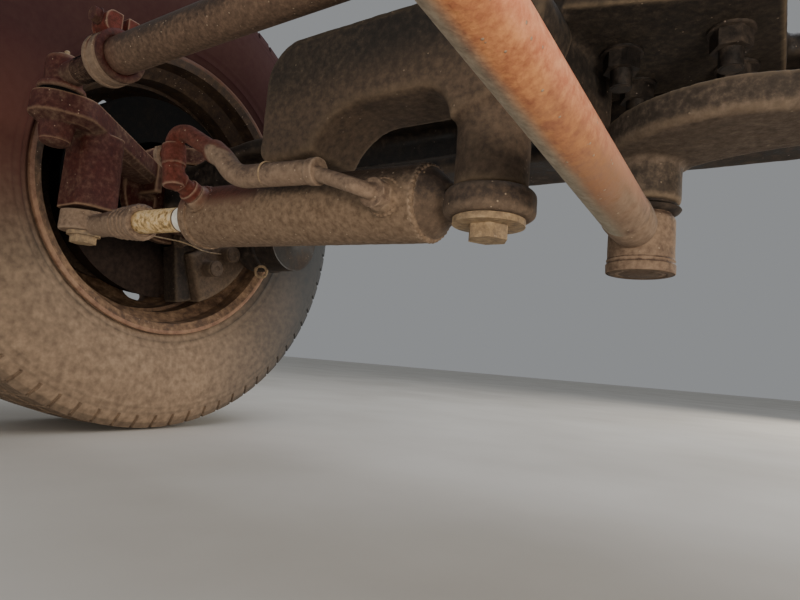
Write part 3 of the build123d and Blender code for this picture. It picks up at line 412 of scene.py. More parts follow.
def turned(profile, centre, axis, count=48, sides=0, flats=0.0):
    # a profile of (along, radius) turned about the axis; with sides, the radius is cut to a prism:
    # half the flats over the cosine of the angle from the middle of the nearest flat
    axis, first, second = frameOf(axis)
    along, radius = np.array(profile, float).T
    angle = np.linspace(0, 2 * pi, count + 1)[:, None]
    reach = np.broadcast_to(radius, (count + 1, len(radius)))
    if sides:
        nearest = (angle + pi / sides) % (2 * pi / sides) - pi / sides
        reach = np.minimum(reach, flats / 2 / np.cos(nearest))
    spread = reach[..., None]
    return (np.array(centre, float) + along[None, :, None] * axis
            + spread * (np.cos(angle)[..., None] * first + np.sin(angle)[..., None] * second))


def tube(path, radius, count=16):
    # a circle carried along a path: at each point it lies square to the path's direction
    path = np.array(path, float)
    step = np.gradient(path, axis=0)
    step /= np.linalg.norm(step, axis=1)[:, None]
    helper = np.array([0.13, 0.27, 0.95])
    first = np.cross(step, helper)
    first /= np.linalg.norm(first, axis=1)[:, None]
    second = np.cross(step, first)
    angle = np.linspace(0, 2 * pi, count + 1)
    radius = np.broadcast_to(radius, len(path))[:, None, None]
    circle = np.cos(angle)[:, None] * first[:, None] + np.sin(angle)[:, None] * second[:, None]
    start = np.broadcast_to(path[0], (1, count + 1, 3))
    end = np.broadcast_to(path[-1], (1, count + 1, 3))
    return np.concatenate([start, path[:, None] + radius * circle, end])


def addPiece(name, surfaces, material, body, smoothAngle=38):
    # a finished piece that rides on a body of the frame
    piece = finishMesh(name, surfaceMesh(name, surfaces), material, smoothAngle)
    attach(piece, body)


# the camera, at the photograph's viewpoint: metres, degrees, and the focal length in pixels of an 800 wide image
cameraFacts = {
    "place": (0.2619, -0.7652, -0.4085), "yaw": 33.34, "pitch": 5.86, "roll": 4.61,
    "focalPixels": 587.3, "imagePixels": 800, "sensorMm": 36, "clipStart": 0.02,
}


def makeCamera(facts):
    # it looks along its yaw and pitch; the roll turns its upright about that line
    yaw, pitch, roll = (radians(facts[name]) for name in ("yaw", "pitch", "roll"))
    forward = Vector((-sin(yaw) * cos(pitch), cos(yaw) * cos(pitch), sin(pitch)))
    level = Vector((cos(yaw), sin(yaw), 0))
    upright = level.cross(forward)
    right = level * cos(roll) + upright * sin(roll)
    up = upright * cos(roll) - level * sin(roll)
    data = bpy.data.cameras.new("camera")
    data.sensor_width = facts["sensorMm"]
    data.sensor_fit = "HORIZONTAL"
    data.lens = facts["focalPixels"] / facts["imagePixels"] * data.sensor_width
    data.clip_start = facts["clipStart"]
    camera = bpy.data.objects.new("camera", data)
    turn = Matrix((right, up, -forward)).transposed().to_4x4()
    camera.matrix_world = Matrix.Translation(facts["place"]) @ turn
    bpy.context.scene.collection.objects.link(camera)
    bpy.context.scene.camera = camera


makeCamera(cameraFacts)

# the stage: a pale floor and soft light
stageFacts = {
    "floorSize": 30.0, "floorDark": "c9c5bd", "floorLight": "d8d5ce", "mottleMm": 400,
    "world": "dadde0", "worldStrength": 0.38,
}


def makeStage(facts, floorZ):
    # a flat square at the tyres' feet, mottled as sealed concrete, under an even sky
    material, add, coords = newMaterial("pale sealed floor")
    mottle = add("TexNoise", {"Vector": coords, "Scale": perMetre(facts["mottleMm"]), "Detail": 5.0})
    colour = add("ValToRGB", {"Fac": mottle}, [(0.3, facts["floorDark"]), (0.7, facts["floorLight"])])
    add("OutputMaterial", {"Surface": add("BsdfPrincipled", {"Base Color": colour, "Roughness": 0.8})})
    half = facts["floorSize"] / 2
    line = np.linspace(-half, half, 3)
    x, y = np.meshgrid(line, line, indexing="ij")
    floor = bpy.data.objects.new("floor", surfaceMesh("floor", [np.stack([x, y, x * 0 + floorZ], axis=-1)]))
    floor.data.materials.append(material)
    bpy.context.scene.collection.objects.link(floor)
    world = bpy.data.worlds.new("studio")
    world.use_nodes = True
    background = world.node_tree.nodes["Background"]
    background.inputs["Color"].default_value = linear(facts["world"])
    background.inputs["Strength"].default_value = facts["worldStrength"]
    bpy.context.scene.world = world


lights = (
    # name, place, target, width and height in metres, watts, colour
    ("front bounce", (1.5, -2.1, -0.50), (-0.1, -0.1, -0.2), 1.6, 0.7, 24, "fff3e4"),
    ("right bounce", (1.15, -1.15, -0.50), (0.15, -0.55, -0.20), 0.5, 0.4, 14, "fff1e0"),
    ("left bounce", (-1.4, -2.2, -0.40), (-0.8, 0, -0.35), 1.2, 0.6, 7, "fff6ea"),
    ("top softbox", (0.5, 0.8, 3.0), (0, 0, 0), 3.0, 3.0, 55, "f4f6ff"),
    ("rear softbox", (1.8, 3.0, 0.6), (0, 0, -0.2), 2.5, 2.0, 80, "fff5e6"),
)


def makeLights():
    # each light is a rectangle turned to face its target
    for name, place, target, width, height, power, colour in lights:
        data = bpy.data.lights.new(name, "AREA")
        data.shape = "RECTANGLE"
        data.size, data.size_y = width, height
        data.energy = power
        data.color = linear(colour)[:3]
        light = bpy.data.objects.new(name, data)
        light.location = place
        light.rotation_mode = "QUATERNION"
        light.rotation_quaternion = (Vector(target) - Vector(place)).to_track_quat("-Z", "Y")
        bpy.context.scene.collection.objects.link(light)


makeStage(stageFacts, floorZ=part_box("tyre_left")[0].z)
makeLights()
report("camera, stage and light")


# dressed copies of the cast and forged nodes
skinGrainMm = 12.0


def dressNode(node, material, voxelMm, smoothSteps, roughMm):
    # a merged copy of the node, remeshed so that its edges round over as in a mould,
    # then roughened by a clouds displacement of about a millimetre
    source = nodes[node]
    mesh = source.data.copy()
    work = bmesh.new()
    work.from_mesh(mesh)
    bmesh.ops.remove_doubles(work, verts=work.verts, dist=1e-5)
    work.to_mesh(mesh)
    work.free()
    copy = bpy.data.objects.new("work", mesh)
    bpy.context.scene.collection.objects.link(copy)
    remesh = copy.modifiers.new("remesh", "REMESH")
    remesh.mode = "VOXEL"
    remesh.voxel_size = voxelMm * mm
    smooth = copy.modifiers.new("smooth", "SMOOTH")
    smooth.iterations = smoothSteps
    smooth.factor = 0.5
    clouds = bpy.data.textures.new(node + " skin", "CLOUDS")
    clouds.noise_scale = skinGrainMm * mm
    clouds.noise_depth = 3
    displace = copy.modifiers.new("skin", "DISPLACE")
    displace.texture = clouds
    displace.texture_coords = "LOCAL"
    displace.strength = roughMm * mm
    displace.mid_level = 0.6
    graph = bpy.context.evaluated_depsgraph_get()
    made = bpy.data.meshes.new_from_object(copy.evaluated_get(graph))
    bpy.data.objects.remove(copy)
    words = node.split("_")
    name = words[0] + "".join(word.capitalize() for word in words[1:])
    piece = finishMesh(name, made, material, 60)
    # its mesh is fine enough for the materials to find its edges
    fine = piece.data.attributes.new("fineMesh", "FLOAT", "POINT")
    fine.data.foreach_set("value", np.ones(len(piece.data.vertices), np.float32))
    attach(piece, source["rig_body"])
    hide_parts(node)
    return piece


dressed = (
    # node, material, voxel in mm, smoothing steps, skin in mm
    ("anchor_casting", castIron, 3.0, 10, 1.2),
    ("axle_beam", blackEnamel, 5.0, 5, 1.0),
    ("drag_link_arm", armIron, 2.6, 4, 1.0),
    ("knuckle_left", overspray, 3.0, 4, 0.8),
    ("knuckle_right", overspray, 3.5, 4, 0.8),
    ("steering_arm_left", overspray, 1.8, 3, 0.9),
    ("steering_arm_right", overspray, 2.0, 3, 0.9),
    ("brake_caliper_left", castIron, 2.5, 6, 1.0),
    ("brake_caliper_right", castIron, 2.5, 6, 1.0),
    ("brake_carrier_left", carrierIron, 2.5, 12, 1.6),
    ("brake_carrier_right", carrierIron, 2.5, 12, 1.6),
    ("barrel_eye", eyeDust, 1.6, 5, 0.9),
    ("rod_eye", roadDust, 1.6, 6, 1.2),
    ("drag_link_front_end", roadDust, 1.4, 3, 0.5),
    ("drag_link_rear_end", roadDust, 1.8, 6, 0.5),
    ("tie_rod_end_left", overspray, 1.8, 4, 0.6),
    ("tie_rod_end_right", roadDust, 1.8, 4, 0.6),
    ("tie_rod_clamp_left", clampDust, 1.4, 3, 0.4),
    ("tie_rod_clamp_right", roadDust, 1.4, 3, 0.4),
    ("cylinder_barrel", barrelDustAndShade, 1.8, 3, 0.9),
    ("cylinder_pipe", pipeDust, 1.2, 1, 0.3),
)
for node, material, voxelMm, smoothSteps, roughMm in dressed:
    piece = dressNode(node, material, voxelMm, smoothSteps, roughMm)
report("dressed castings")

# nodes that keep their own mesh
kept = (
    (zincSteel, ("anchor_bolt", "rod_bolt", "kingpin_left", "kingpin_right")),
    (zincSteel, ("wheel_nuts_left", "wheel_nuts_right")),
    (blackEnamel, ("bracket_bolts",)),
    (tieDust, ("tie_rod_tube",)),
    (linkDustAndLight, ("drag_link_tube",)),
    (chrome, ("piston_rod",)),
    (castIron, ("hub_left", "hub_right")),
    # discs and shields deep in the wheel take this near-black as painted shade
    (brakeBlackAndShade, ("brake_disc_left", "brake_disc_right", "dust_shield_left", "dust_shield_right")),
    (blackEnamel, ("brake_chamber_left", "brake_chamber_right")),
    (wheelEnamel, ("rim_left", "rim_right")),
)
for material, names in kept:
    for name in names:
        mesh = nodes[name].data
        mesh.materials.clear()
        mesh.materials.append(material)
report("finishes on the frame's own nodes")


# small parts; places and sizes in mm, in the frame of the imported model
def at(x, y, z):
    # that place in metres
    return np.array([x, y, z], float) * mm


def hexHead(centre, axis, flats, height, washer=0.0):
    # a chamfered hexagon, standing on a washer where that has a radius
    corner = flats / 2 / cos(pi / 6)
    rim = washer and flats * 0.12
    top = rim + height
    head = [(rim, 0), (rim, corner), (rim + height * 0.8, corner), (top, corner * 0.87), (top, 0)]
    made = [turned(np.array(head) * mm, centre, axis, 48, sides=6, flats=flats * mm)]
    if washer:
        disc = [(0, 0), (0, washer), (rim * 0.7, washer), (rim, washer * 0.94), (rim, 0)]
        made.append(turned(np.array(disc) * mm, centre, axis, 40))
    return made


def stud(centre, axis, radius, length, pitch=2.0):
    # a threaded end: the thread is a run of ridges
    count = int(length / pitch)
    run = np.arange(count)[:, None] * pitch
    crests = np.broadcast_to([radius, radius * 0.9], (count, 2))
    ridges = np.stack([run + [0, pitch / 2], crests], axis=-1).reshape(-1, 2)
    profile = np.concatenate([[(0, 0)], ridges, [(length, radius * 0.8), (length, 0)]])
    return [turned(profile * mm, centre, axis, 28)]


def ring(centre, axis, profile, count=64):
    # a profile of (along, radius) in mm, turned about the axis
    return [turned(np.array(profile, float) * mm, centre, axis, count)]


def bead(centre, axis, radius, thick, ripples=40):
    # a weld bead: a closed torus whose thickness swells with every ripple of the welder's hand
    axis, first, second = frameOf(axis)
    around = np.linspace(0, 2 * pi, ripples * 5 + 1)[:, None, None]
    across = np.linspace(0, 2 * pi, 11)[None, :, None]
    swell = thick * (1 + 0.16 * np.sin(around * ripples) + 0.10 * np.sin(around * 7 + 1))
    reach = (radius + swell * np.cos(across)) * mm
    return [np.array(centre) + reach * (np.cos(around) * first + np.sin(around) * second)
            + swell * np.sin(across) * mm * axis]


def splitPin(centre, direction, length, axis, wire=1.3, eyeRadius=3, bend=9):
    # a wire through a stud: an eye on one side, and two legs that bend apart along the axis on the other
    direction, axis = np.array(direction, float), np.array(axis, float)
    start, end = centre - direction * length / 2 * mm, centre + direction * length / 2 * mm
    turn = np.linspace(-0.5 * pi, 1.5 * pi, 15)[:, None]
    eye = start + eyeRadius * mm * ((np.cos(turn) - 1) * direction + np.sin(turn) * axis)
    paths = [eye]
    for side in (-1, 1):
        paths.append([start, end, end + (direction * 2 + axis * side * bend) * mm])
    return [tube(path, wire * mm, 8) for path in paths]


def arcPath(points, steps=10):
    # a smooth path through the points, by quadratic blends between the middles of its runs
    points = np.array(points, float)
    middles = (points[:-1] + points[1:]) / 2
    t = np.linspace(0, 1, steps)[:, None]
    bends = [(1 - t) ** 2 * a + 2 * t * (1 - t) * b + t**2 * c
             for a, b, c in zip(middles[:-1], points[1:-1], middles[1:])]
    return np.concatenate([points[:1], *bends, points[-1:]]) * mm


up, down, across = (0, 0, 1), (0, 0, -1), (1, 0, 0)
sides = (("left", -1), ("right", 1))

# the tie rod's ball joints and clamps; each shape is a profile of (along, radius), and each head of a bolt
# is its width across flats, its height and the radius of its washer
tieFacts = {
    "x": 674, "y": -336, "z": -16, "armTop": -50, "housingTop": 14, "bossBottom": -120,
    "threadAt": 556, "threadRadius": 19.4, "threadLength": 69, "threadPitch": 3.0,
    "clampIn": 519, "boltX": 538, "boltZ": 32, "lugHalf": 28, "boltHead": (20, 8, 12),
    "gaiterLow": [(0, 27), (0.3, 30.6), (6.8, 30.8), (7.4, 29.6), (7.4, 27), (0, 27)],
    "gaiterHigh": [(7.4, 27), (7.4, 31), (8.4, 33.4), (10.5, 34.2), (14, 33.4), (16.6, 31.6), (17.4, 30),
                   (17.4, 27), (7.4, 27)],
    "cap": [(0, 0), (0, 17), (2, 17), (2.8, 16), (2.8, 13), (1.8, 12), (1.8, 0)],
    "nipple": [(0, 0), (0, 5), (5, 5), (5, 3.2), (8, 3.2), (10, 4), (12, 2.5), (12, 0)],
    "dome": [(0, 0), (0, 21.2), (2, 20.8), (4, 18.5), (6, 14), (7, 8), (7.3, 0)],
    "rims": ([(11, 35.6), (12, 36.6), (23, 36.8), (25, 35.6)],
             [(29, 35.6), (30, 37.4), (36, 37.6), (38.4, 36), (38.4, 30)]),
    "face": [(-5, 35.8), (-4, 37), (0, 36.8), (1.5, 35), (1.8, 31), (1.2, 27.5), (0, 26.4)],
}


def makeTieParts(side, sign, facts):
    # all parts lie on the ball's upright axis or on the rod's axis; the red overspray is on the left
    tag, outward, inward = side.capitalize(), (sign, 0, 0), (-sign, 0, 0)
    linkPaint, ringFinish = (overspray, ringPaint) if side == "left" else (roadDust, roadDust)
    ball = at(sign * facts["x"], facts["y"], 0)
    # ball joint: a ringed gaiter under the housing, a cap with a grease nipple on top
    seat = ball + at(0, 0, facts["armTop"] + 0.5)
    # the gaiter is near-black: black rubber, deepened as painted shade under its ring
    addPiece("ballGaiter" + tag, ring(seat, up, facts["gaiterLow"]), brakeBlackAndShade, "tie_rod", 50)
    addPiece("gaiterRing" + tag, ring(seat, up, facts["gaiterHigh"]), ringFinish, "tie_rod", 50)
    cap = ring(ball + at(0, 0, facts["housingTop"] - 0.5), up, facts["cap"])
    cap += ring(ball + at(0, 0, facts["housingTop"] + 1), up, facts["nipple"], 20)
    addPiece("ballCap" + tag, cap, zincSteel, "tie_rod")
    # the eye's boss is closed by a domed cap
    dome = ring(ball + at(0, 0, facts["bossBottom"] + 1), down, facts["dome"])
    addPiece("bossCap" + tag, dome, linkPaint, "knuckle_" + side, 60)
    # threaded shank, the clamp's rims and face, and its bolt
    threadStart = at(sign * facts["threadAt"], facts["y"], facts["z"])
    thread = stud(threadStart, outward, facts["threadRadius"], facts["threadLength"], facts["threadPitch"])
    # the thread is near-black as painted shade: it sits in deep shadow between housing and clamp
    addPiece("tieThread" + tag, thread, brakeBlackAndShade, "tie_rod")
    clamp = at(sign * facts["clampIn"], facts["y"], facts["z"])
    rims = [turned(np.array(profile) * mm, clamp, outward, 64) for profile in facts["rims"]]
    addPiece("clampRims" + tag, rims, roadDust, "tie_rod")
    addPiece("clampFace" + tag, ring(clamp, inward, facts["face"]), linkPaint, "tie_rod")
    bolt = at(sign * facts["boltX"], facts["y"], facts["boltZ"])
    ends = []
    for way in (-1, 1):
        ends += hexHead(bolt + at(0, way * facts["lugHalf"], 0), (0, way, 0), *facts["boltHead"])
    addPiece("clampBolt" + tag, ends, linkPaint, "tie_rod")


# caps over the kingpins, with three screws and a grease nipple each;
# on the right the drag link's arm covers the lower end
kingpinFacts = {
    "x": 790, "top": -10, "bottom": -176, "nippleUp": 7,
    "boltCircle": 25, "boltAngles": (30, 150, 270), "boltUp": 5, "boltHead": (11, 6),
    "cap": [(0, 0), (0, 36), (4, 36), (5, 34.5), (5, 17), (7, 15), (7, 0)],
    "nipple": [(0, 0), (0, 4.5), (4, 4.5), (4, 3), (8, 3), (9, 3.6), (11, 2), (11, 0)],
    "ends": {"left": (("top", 1), ("bottom", -1)), "right": (("top", 1),)},
}


def makeKingpinCaps(side, sign, facts):
    # a turned cap at each end, its screws evenly round a circle
    caps = []
    for height, way in facts["ends"][side]:
        centre = at(sign * facts["x"], 0, facts[height])
        caps += ring(centre, (0, 0, way), facts["cap"])
        for angle in np.radians(facts["boltAngles"]):
            spot = at(facts["boltCircle"] * cos(angle), facts["boltCircle"] * sin(angle), facts["boltUp"] * way)
            caps += hexHead(centre + spot, (0, 0, way), *facts["boltHead"])
        caps += ring(centre + at(0, 0, facts["nippleUp"] * way), (0, 0, way), facts["nipple"], 20)
    addPiece("kingpinCaps" + side.capitalize(), caps, overspray, "knuckle_" + side)


for side, sign in sides:
    makeTieParts(side, sign, tieFacts)
    makeKingpinCaps(side, sign, kingpinFacts)

# steering cylinder: its two pins, its welds (along, radius, thickness), its ports (along, degrees from the top)
# and the weld round each port (radius, thickness, ripples)
cylinderFacts = {
    "anchor": (38, -290, -257), "rodPin": (-695, -262, -232),
    "welds": ((63.5, 35.5, 3.2), (406.5, 39.4, 1.8)), "ports": ((385, 68), (95, 93)), "portOut": 37,
    "portWeld": (17.6, 2.2, 26), "nutOut": 45, "nut": (27, 12),
    "glandAt": 424.5, "gland": [(0, 17.3), (0, 33), (2, 35), (3, 33), (3, 26), (5, 24), (7, 21), (8, 17.3)],
    "nippleAt": 46, "nippleOut": 17, "nippleWay": (-0.50, -0.62, 0.60), "nippleHex": (15, 9),
    "nipple": [(0, 0), (0, 5), (4, 6.5), (9, 6.5), (12, 5), (13, 0)],
}
anchor, rodPin = at(*cylinderFacts["anchor"]), at(*cylinderFacts["rodPin"])
along = (rodPin - anchor) / np.linalg.norm(rodPin - anchor)


def onAxis(distance):
    # the point that far from the anchor's pin towards the rod's pin, from mm to metres
    return anchor + along * distance * mm


def makeCylinderParts(facts):
    # welds lie round the barrel's axis and round its ports; a port points up, turned forward by its angle
    welds = []
    for distance, radius, thick in facts["welds"]:
        welds += bead(onAxis(distance), along, radius, thick)
    for distance, angle in facts["ports"]:
        way = np.array([0, -sin(radians(angle)), cos(radians(angle))])
        welds += bead(onAxis(distance) + way * facts["portOut"] * mm, way, *facts["portWeld"])
    addPiece("cylinderWelds", welds, barrelDustAndShade, "cylinder", 60)
    gland = ring(onAxis(facts["glandAt"]), along, facts["gland"])
    addPiece("cylinderGland", gland, roadDust, "cylinder")
    way = np.array(facts["nippleWay"])
    place = onAxis(facts["nippleAt"]) + way * facts["nippleOut"] * mm
    nipple = hexHead(place, way, *facts["nippleHex"])
    nipple += ring(place + way * facts["nippleHex"][1] * mm, way, facts["nipple"], 24)
    addPiece("eyeNipple", nipple, zincSteel, "cylinder")
    distance, angle = facts["ports"][1]
    way = np.array([0, -sin(radians(angle)), cos(radians(angle))])
    nut = hexHead(onAxis(distance) + way * facts["nutOut"] * mm, way, *facts["nut"])
    addPiece("pipeNut", nut, pipeDust, "cylinder")


makeCylinderParts(cylinderFacts)

# the pipe's sleeve has a rolled mouth and a crimped seam; the plug's hexagon is bare and dusty
pipeFacts = {
    "front": -349.5, "mouthAt": (-278.8, -190.8), "mouthWay": (0.876, 0, -0.484),
    "mouth": [(-1.6, 10.2), (-1.6, 12.2), (-0.4, 13.4), (3, 13.8), (8, 13.4), (14, 12.4)],
    "seamAt": (-190, -227.5), "seamWay": (0.998, 0, -0.055),
    "seam": [(0, 12.3), (0.6, 13.5), (1.6, 13.5), (2.2, 12.3)],
    "plugAt": (-373.2, -184.4), "plugHex": (25, 8), "plugBack": 7,
    "headReach": 19, "headShrink": 0.6, "headFace": 0.5, "headLimit": -0.3,
}


def makePipeParts(facts):
    # the mouth and the seam are turned about the sleeve, the hexagon about the plug
    (mouthX, mouthZ), (seamX, seamZ), (plugX, plugZ) = facts["mouthAt"], facts["seamAt"], facts["plugAt"]
    mouth = ring(at(mouthX, facts["front"], mouthZ), facts["mouthWay"], facts["mouth"], 40)
    addPiece("sleeveMouth", mouth, pipeDust, "cylinder")
    seam = ring(at(seamX, facts["front"], seamZ), facts["seamWay"], facts["seam"], 40)
    addPiece("sleeveSeam", seam, zincSteel, "cylinder")
    hexPlace = at(plugX + facts["plugBack"], facts["front"], plugZ)
    plug = hexHead(hexPlace, (-1, 0, 0), *facts["plugHex"])
    addPiece("plugHex", plug, roadDust, "cylinder")
    # the remeshed pipe's own plug head shrinks about its axis and draws back, to hide in that hexagon
    mesh = bpy.data.objects["cylinderPipe"].data
    points = np.empty(len(mesh.vertices) * 3, np.float32)
    mesh.vertices.foreach_get("co", points)
    plugPlace = at(plugX, facts["front"], plugZ)
    spread = points.reshape(-1, 3) - plugPlace
    reach = np.hypot(spread[:, 1], spread[:, 2])
    head = (spread[:, 0] < facts["headFace"] * mm) & (reach < facts["headReach"] * mm)
    spread[head, 1:] *= facts["headShrink"]
    spread[head, 0] = np.maximum(spread[head, 0], facts["headLimit"] * mm)
    mesh.vertices.foreach_set("co", (spread + plugPlace).astype(np.float32).ravel())
    mesh.update()


makePipeParts(pipeFacts)

# rod end: a rounded mouth, and a crust of dirt in rings of (along, radius, thickness)
rodFacts = {
    "mouthAt": 562.5,
    "mouth": [(8, 17.4), (8, 21), (0.3, 21.2), (0, 22.6), (1.5, 25), (4, 26.8), (8, 27), (10, 25.5)],
    "crusts": ((566, 25.5, 2.6), (573, 25.5, 2.0), (582, 25.0, 2.4),
               (593, 24.5, 1.8), (607, 23.5, 2.2), (622, 22.5, 1.6)),
}
crust = ring(onAxis(rodFacts["mouthAt"]), along, rodFacts["mouth"])
for distance, radius, thick in rodFacts["crusts"]:
    crust += bead(onAxis(distance), along, radius - thick * 0.4, thick, 17)
addPiece("rodCrust", crust, roadDust, "rod", 60)

# drag link: socket collar, gaiter, the housing's bottom plate and band, and the stud's split pin
dragFacts = {
    "ball": (148, -185, -274), "run": (-24, -760, 85), "gaiterUp": 21, "bottom": -36, "pinUp": 110, "pinLength": 30,
    "collarOut": 27, "collar": [(0, 14), (0, 18.5), (4, 20.5), (18, 21.6), (33, 21.8), (36, 21)],
    "gaiter": [(0, 0), (0, 28), (2, 33), (4, 34.5), (6, 33), (7, 30), (8.5, 31), (8.8, 0)],
    "plate": [(-2, 30.4), (-1, 30.4), (0.6, 28), (0.8, 24), (-0.4, 22.5), (-0.4, 20), (0.9, 17), (1.4, 0)],
    "band": [(0, 30.2), (0.5, 31), (8, 31.3), (9.5, 30.2), (11, 30.2), (12, 30.8), (13.5, 30.2)],
}


def makeDragParts(facts):
    # turned parts on the front ball: the collar along the link, the others on the upright stud
    ball = at(*facts["ball"])
    way = np.array(facts["run"]) / np.linalg.norm(facts["run"])
    collar = ring(ball + way * facts["collarOut"] * mm, way, facts["collar"])
    addPiece("dragCollar", collar, roadDust, "drag_link")
    gaiter = ring(ball + at(0, 0, facts["gaiterUp"]), up, facts["gaiter"])
    addPiece("dragGaiter", gaiter, blackEnamel, "drag_link", 50)
    bottom = ball + at(0, 0, facts["bottom"])
    addPiece("dragPlate", ring(bottom, down, facts["plate"]), eyeDust, "drag_link")
    addPiece("dragBand", ring(bottom, up, facts["band"]), roadDust, "drag_link")
    pin = splitPin(ball + at(0, 0, facts["pinUp"]), across, facts["pinLength"], up)
    addPiece("dragPin", pin, zincSteel, "knuckle_right")


makeDragParts(dragFacts)
report("small parts of the steering")

# brakes and wheels: places out from the wheel's middle plane, and circles about its axis
wheelFacts = {
    "x": 948, "z": -93, "plateOut": 152, "rimHalf": 118, "capEnd": 210,
    "studCircle": 167.5, "studs": 10, "firstStud": 18, "studOut": 24, "studRadius": 10.5, "studLength": 15,
    "screwCircle": 79, "screws": 8, "screwOut": 156, "screwHead": (13, 8, 11),
    "washer": [(0, 15), (0, 22), (3, 22), (4.5, 20.5), (4.5, 15)],
    "cap": [(-0.5, 0), (-0.5, 26), (2, 25), (2.6, 20), (1.6, 18), (1.6, 0)],
    "lip": [(-8, 300.3), (-2, 301), (0.4, 300), (1.2, 297.5), (1, 294), (-0.5, 291.5)],
    "valve": ((1052, 0, 139), (1075, 0, 135), (1095, 0, 120), (1120, 0, 112)), "valveRadius": 4.2,
    "valveCap": [(0, 0), (0, 5.5), (12, 5.5), (13, 4), (13, 0)],
}
brakeFacts = {
    "chamberOut": -128, "chamberY": 222, "chamberZ": -150,
    "band": [(48, 71), (50, 74), (53, 75.5), (60, 75.5), (63, 74), (65, 71)],
    "end": [(124, 71), (126, 66), (127, 30), (129, 26), (129, 0)],
    "lugUp": 80, "lugIn": 56, "lugHalf": 12, "lug": [(0, 0), (0, 7), (24, 7), (24, 0)], "lugBolt": (13, 8),
    "nutIn": 126, "nutCircle": 46, "nutAngles": (40, 130), "nut": (22, 14, 14),
    "guideOut": -152, "guideCircle": 172, "guideAngles": (-58, -38),
    "guide": [(0, 18), (1, 18), (3, 16.5), (4, 12), (4, 6), (2.5, 5), (2.5, 0)],
    "boltOut": -100, "boltCircle": 96, "boltAngles": (-74, -50, -26, -2), "boltHead": (27, 15, 17),
    "lead": ((825, -140, -182), (792, -100, -203), (790, -50, -201), (790, 0, -199), (800, 60, -208),
             (826, 140, -196)),
    "leadRadius": 1.6, "eyeAt": (760, 190, -229), "eyeWay": (-0.73, -0.68, -0.15), "eye": (13, 3.4, 5),
}


def onWheel(sign, out, radius=0, angle=0):
    # a point that far out from the wheel's middle plane, on a circle about its axis
    return at(sign * (wheelFacts["x"] + out), radius * cos(angle), wheelFacts["z"] + radius * sin(angle))


def makeBrakeParts(side, sign, facts):
    # turned parts and bolt heads that face inwards; on the right every x is mirrored
    tag, body, inward = side.capitalize(), "knuckle_" + side, (-sign, 0, 0)
    # chamber: two pressed halves in a clamp band with its bolt, and the mounting nuts
    face = at(sign * (wheelFacts["x"] + facts["chamberOut"]), facts["chamberY"], facts["chamberZ"])
    shell = ring(face, inward, facts["band"], 96) + ring(face, inward, facts["end"])
    lug = face + at(-sign * facts["lugIn"], 0, facts["lugUp"])
    for way in (-1, 1):
        shell += hexHead(lug + at(0, way * facts["lugHalf"], 0), (0, way, 0), *facts["lugBolt"])
    shell += ring(lug + at(0, -facts["lugHalf"], 0), (0, 1, 0), facts["lug"], 20)
    for angle in np.radians(facts["nutAngles"]):
        spot = at(-sign * facts["nutIn"], facts["nutCircle"] * cos(angle), facts["nutCircle"] * sin(angle))
        shell += hexHead(face + spot, inward, *facts["nut"])
    addPiece("chamberFittings" + tag, shell, blackEnamel, body)
    # guide pin caps and carrier bolts
    caps = []
    for angle in np.radians(facts["guideAngles"]):
        caps += ring(onWheel(sign, facts["guideOut"], facts["guideCircle"], angle), inward, facts["guide"], 40)
    for angle in np.radians(facts["boltAngles"]):
        spot = onWheel(sign, facts["boltOut"], facts["boltCircle"], angle)
        caps += hexHead(spot, inward, *facts["boltHead"])
    addPiece("caliperBolts" + tag, caps, castIron, body)
    # a wear sensor's stiff lead, and its ring on the rim's side
    mirror = np.array([sign, 1, 1])
    lead = tube(arcPath(np.array(facts["lead"]) * mirror), facts["leadRadius"] * mm, 10)
    eye = bead(at(*facts["eyeAt"]) * mirror, facts["eyeWay"] * mirror, *facts["eye"])
    addPiece("sensorLead" + tag, [lead] + eye, zincSteel, body)


def makeWheelParts(side, sign, facts):
    # studs and screws stand evenly round their circles, 360 degrees over their number apart
    tag, body, outward = side.capitalize(), "wheel_" + side, (sign, 0, 0)
    # wheel studs through their nuts, washers, hub cap screws and cap
    studs, washers, screws = [], [], []
    for angle in radians(facts["firstStud"]) + np.arange(facts["studs"]) * 2 * pi / facts["studs"]:
        spot = onWheel(sign, facts["plateOut"], facts["studCircle"], angle)
        place = spot + at(sign * facts["studOut"], 0, 0)
        studs += stud(place, outward, facts["studRadius"], facts["studLength"])
        washers += ring(spot, outward, facts["washer"], 36)
    for angle in np.arange(facts["screws"]) * 2 * pi / facts["screws"]:
        spot = onWheel(sign, facts["screwOut"], facts["screwCircle"], angle)
        screws += hexHead(spot, outward, *facts["screwHead"])
    screws += ring(onWheel(sign, facts["capEnd"]), outward, facts["cap"])
    addPiece("wheelStuds" + tag, studs + washers, zincSteel, body)
    addPiece("hubScrews" + tag, screws, castIron, body)
    # the rolled edges of the rim's two flanges
    lips = []
    for way in (-1, 1):
        lips += ring(onWheel(sign, way * facts["rimHalf"]), (way * sign, 0, 0), facts["lip"], 160)
    addPiece("rimLips" + tag, lips, lipEnamelAndLight, body)
    path = np.array(facts["valve"]) * (sign, 1, 1)
    valve = [tube(arcPath(path), facts["valveRadius"] * mm, 14)]
    valve += ring(at(*path[-1]), outward, facts["valveCap"], 20)
    addPiece("valve" + tag, valve, zincSteel, body)


for side, sign in sides:
    makeBrakeParts(side, sign, brakeFacts)
    makeWheelParts(side, sign, wheelFacts)

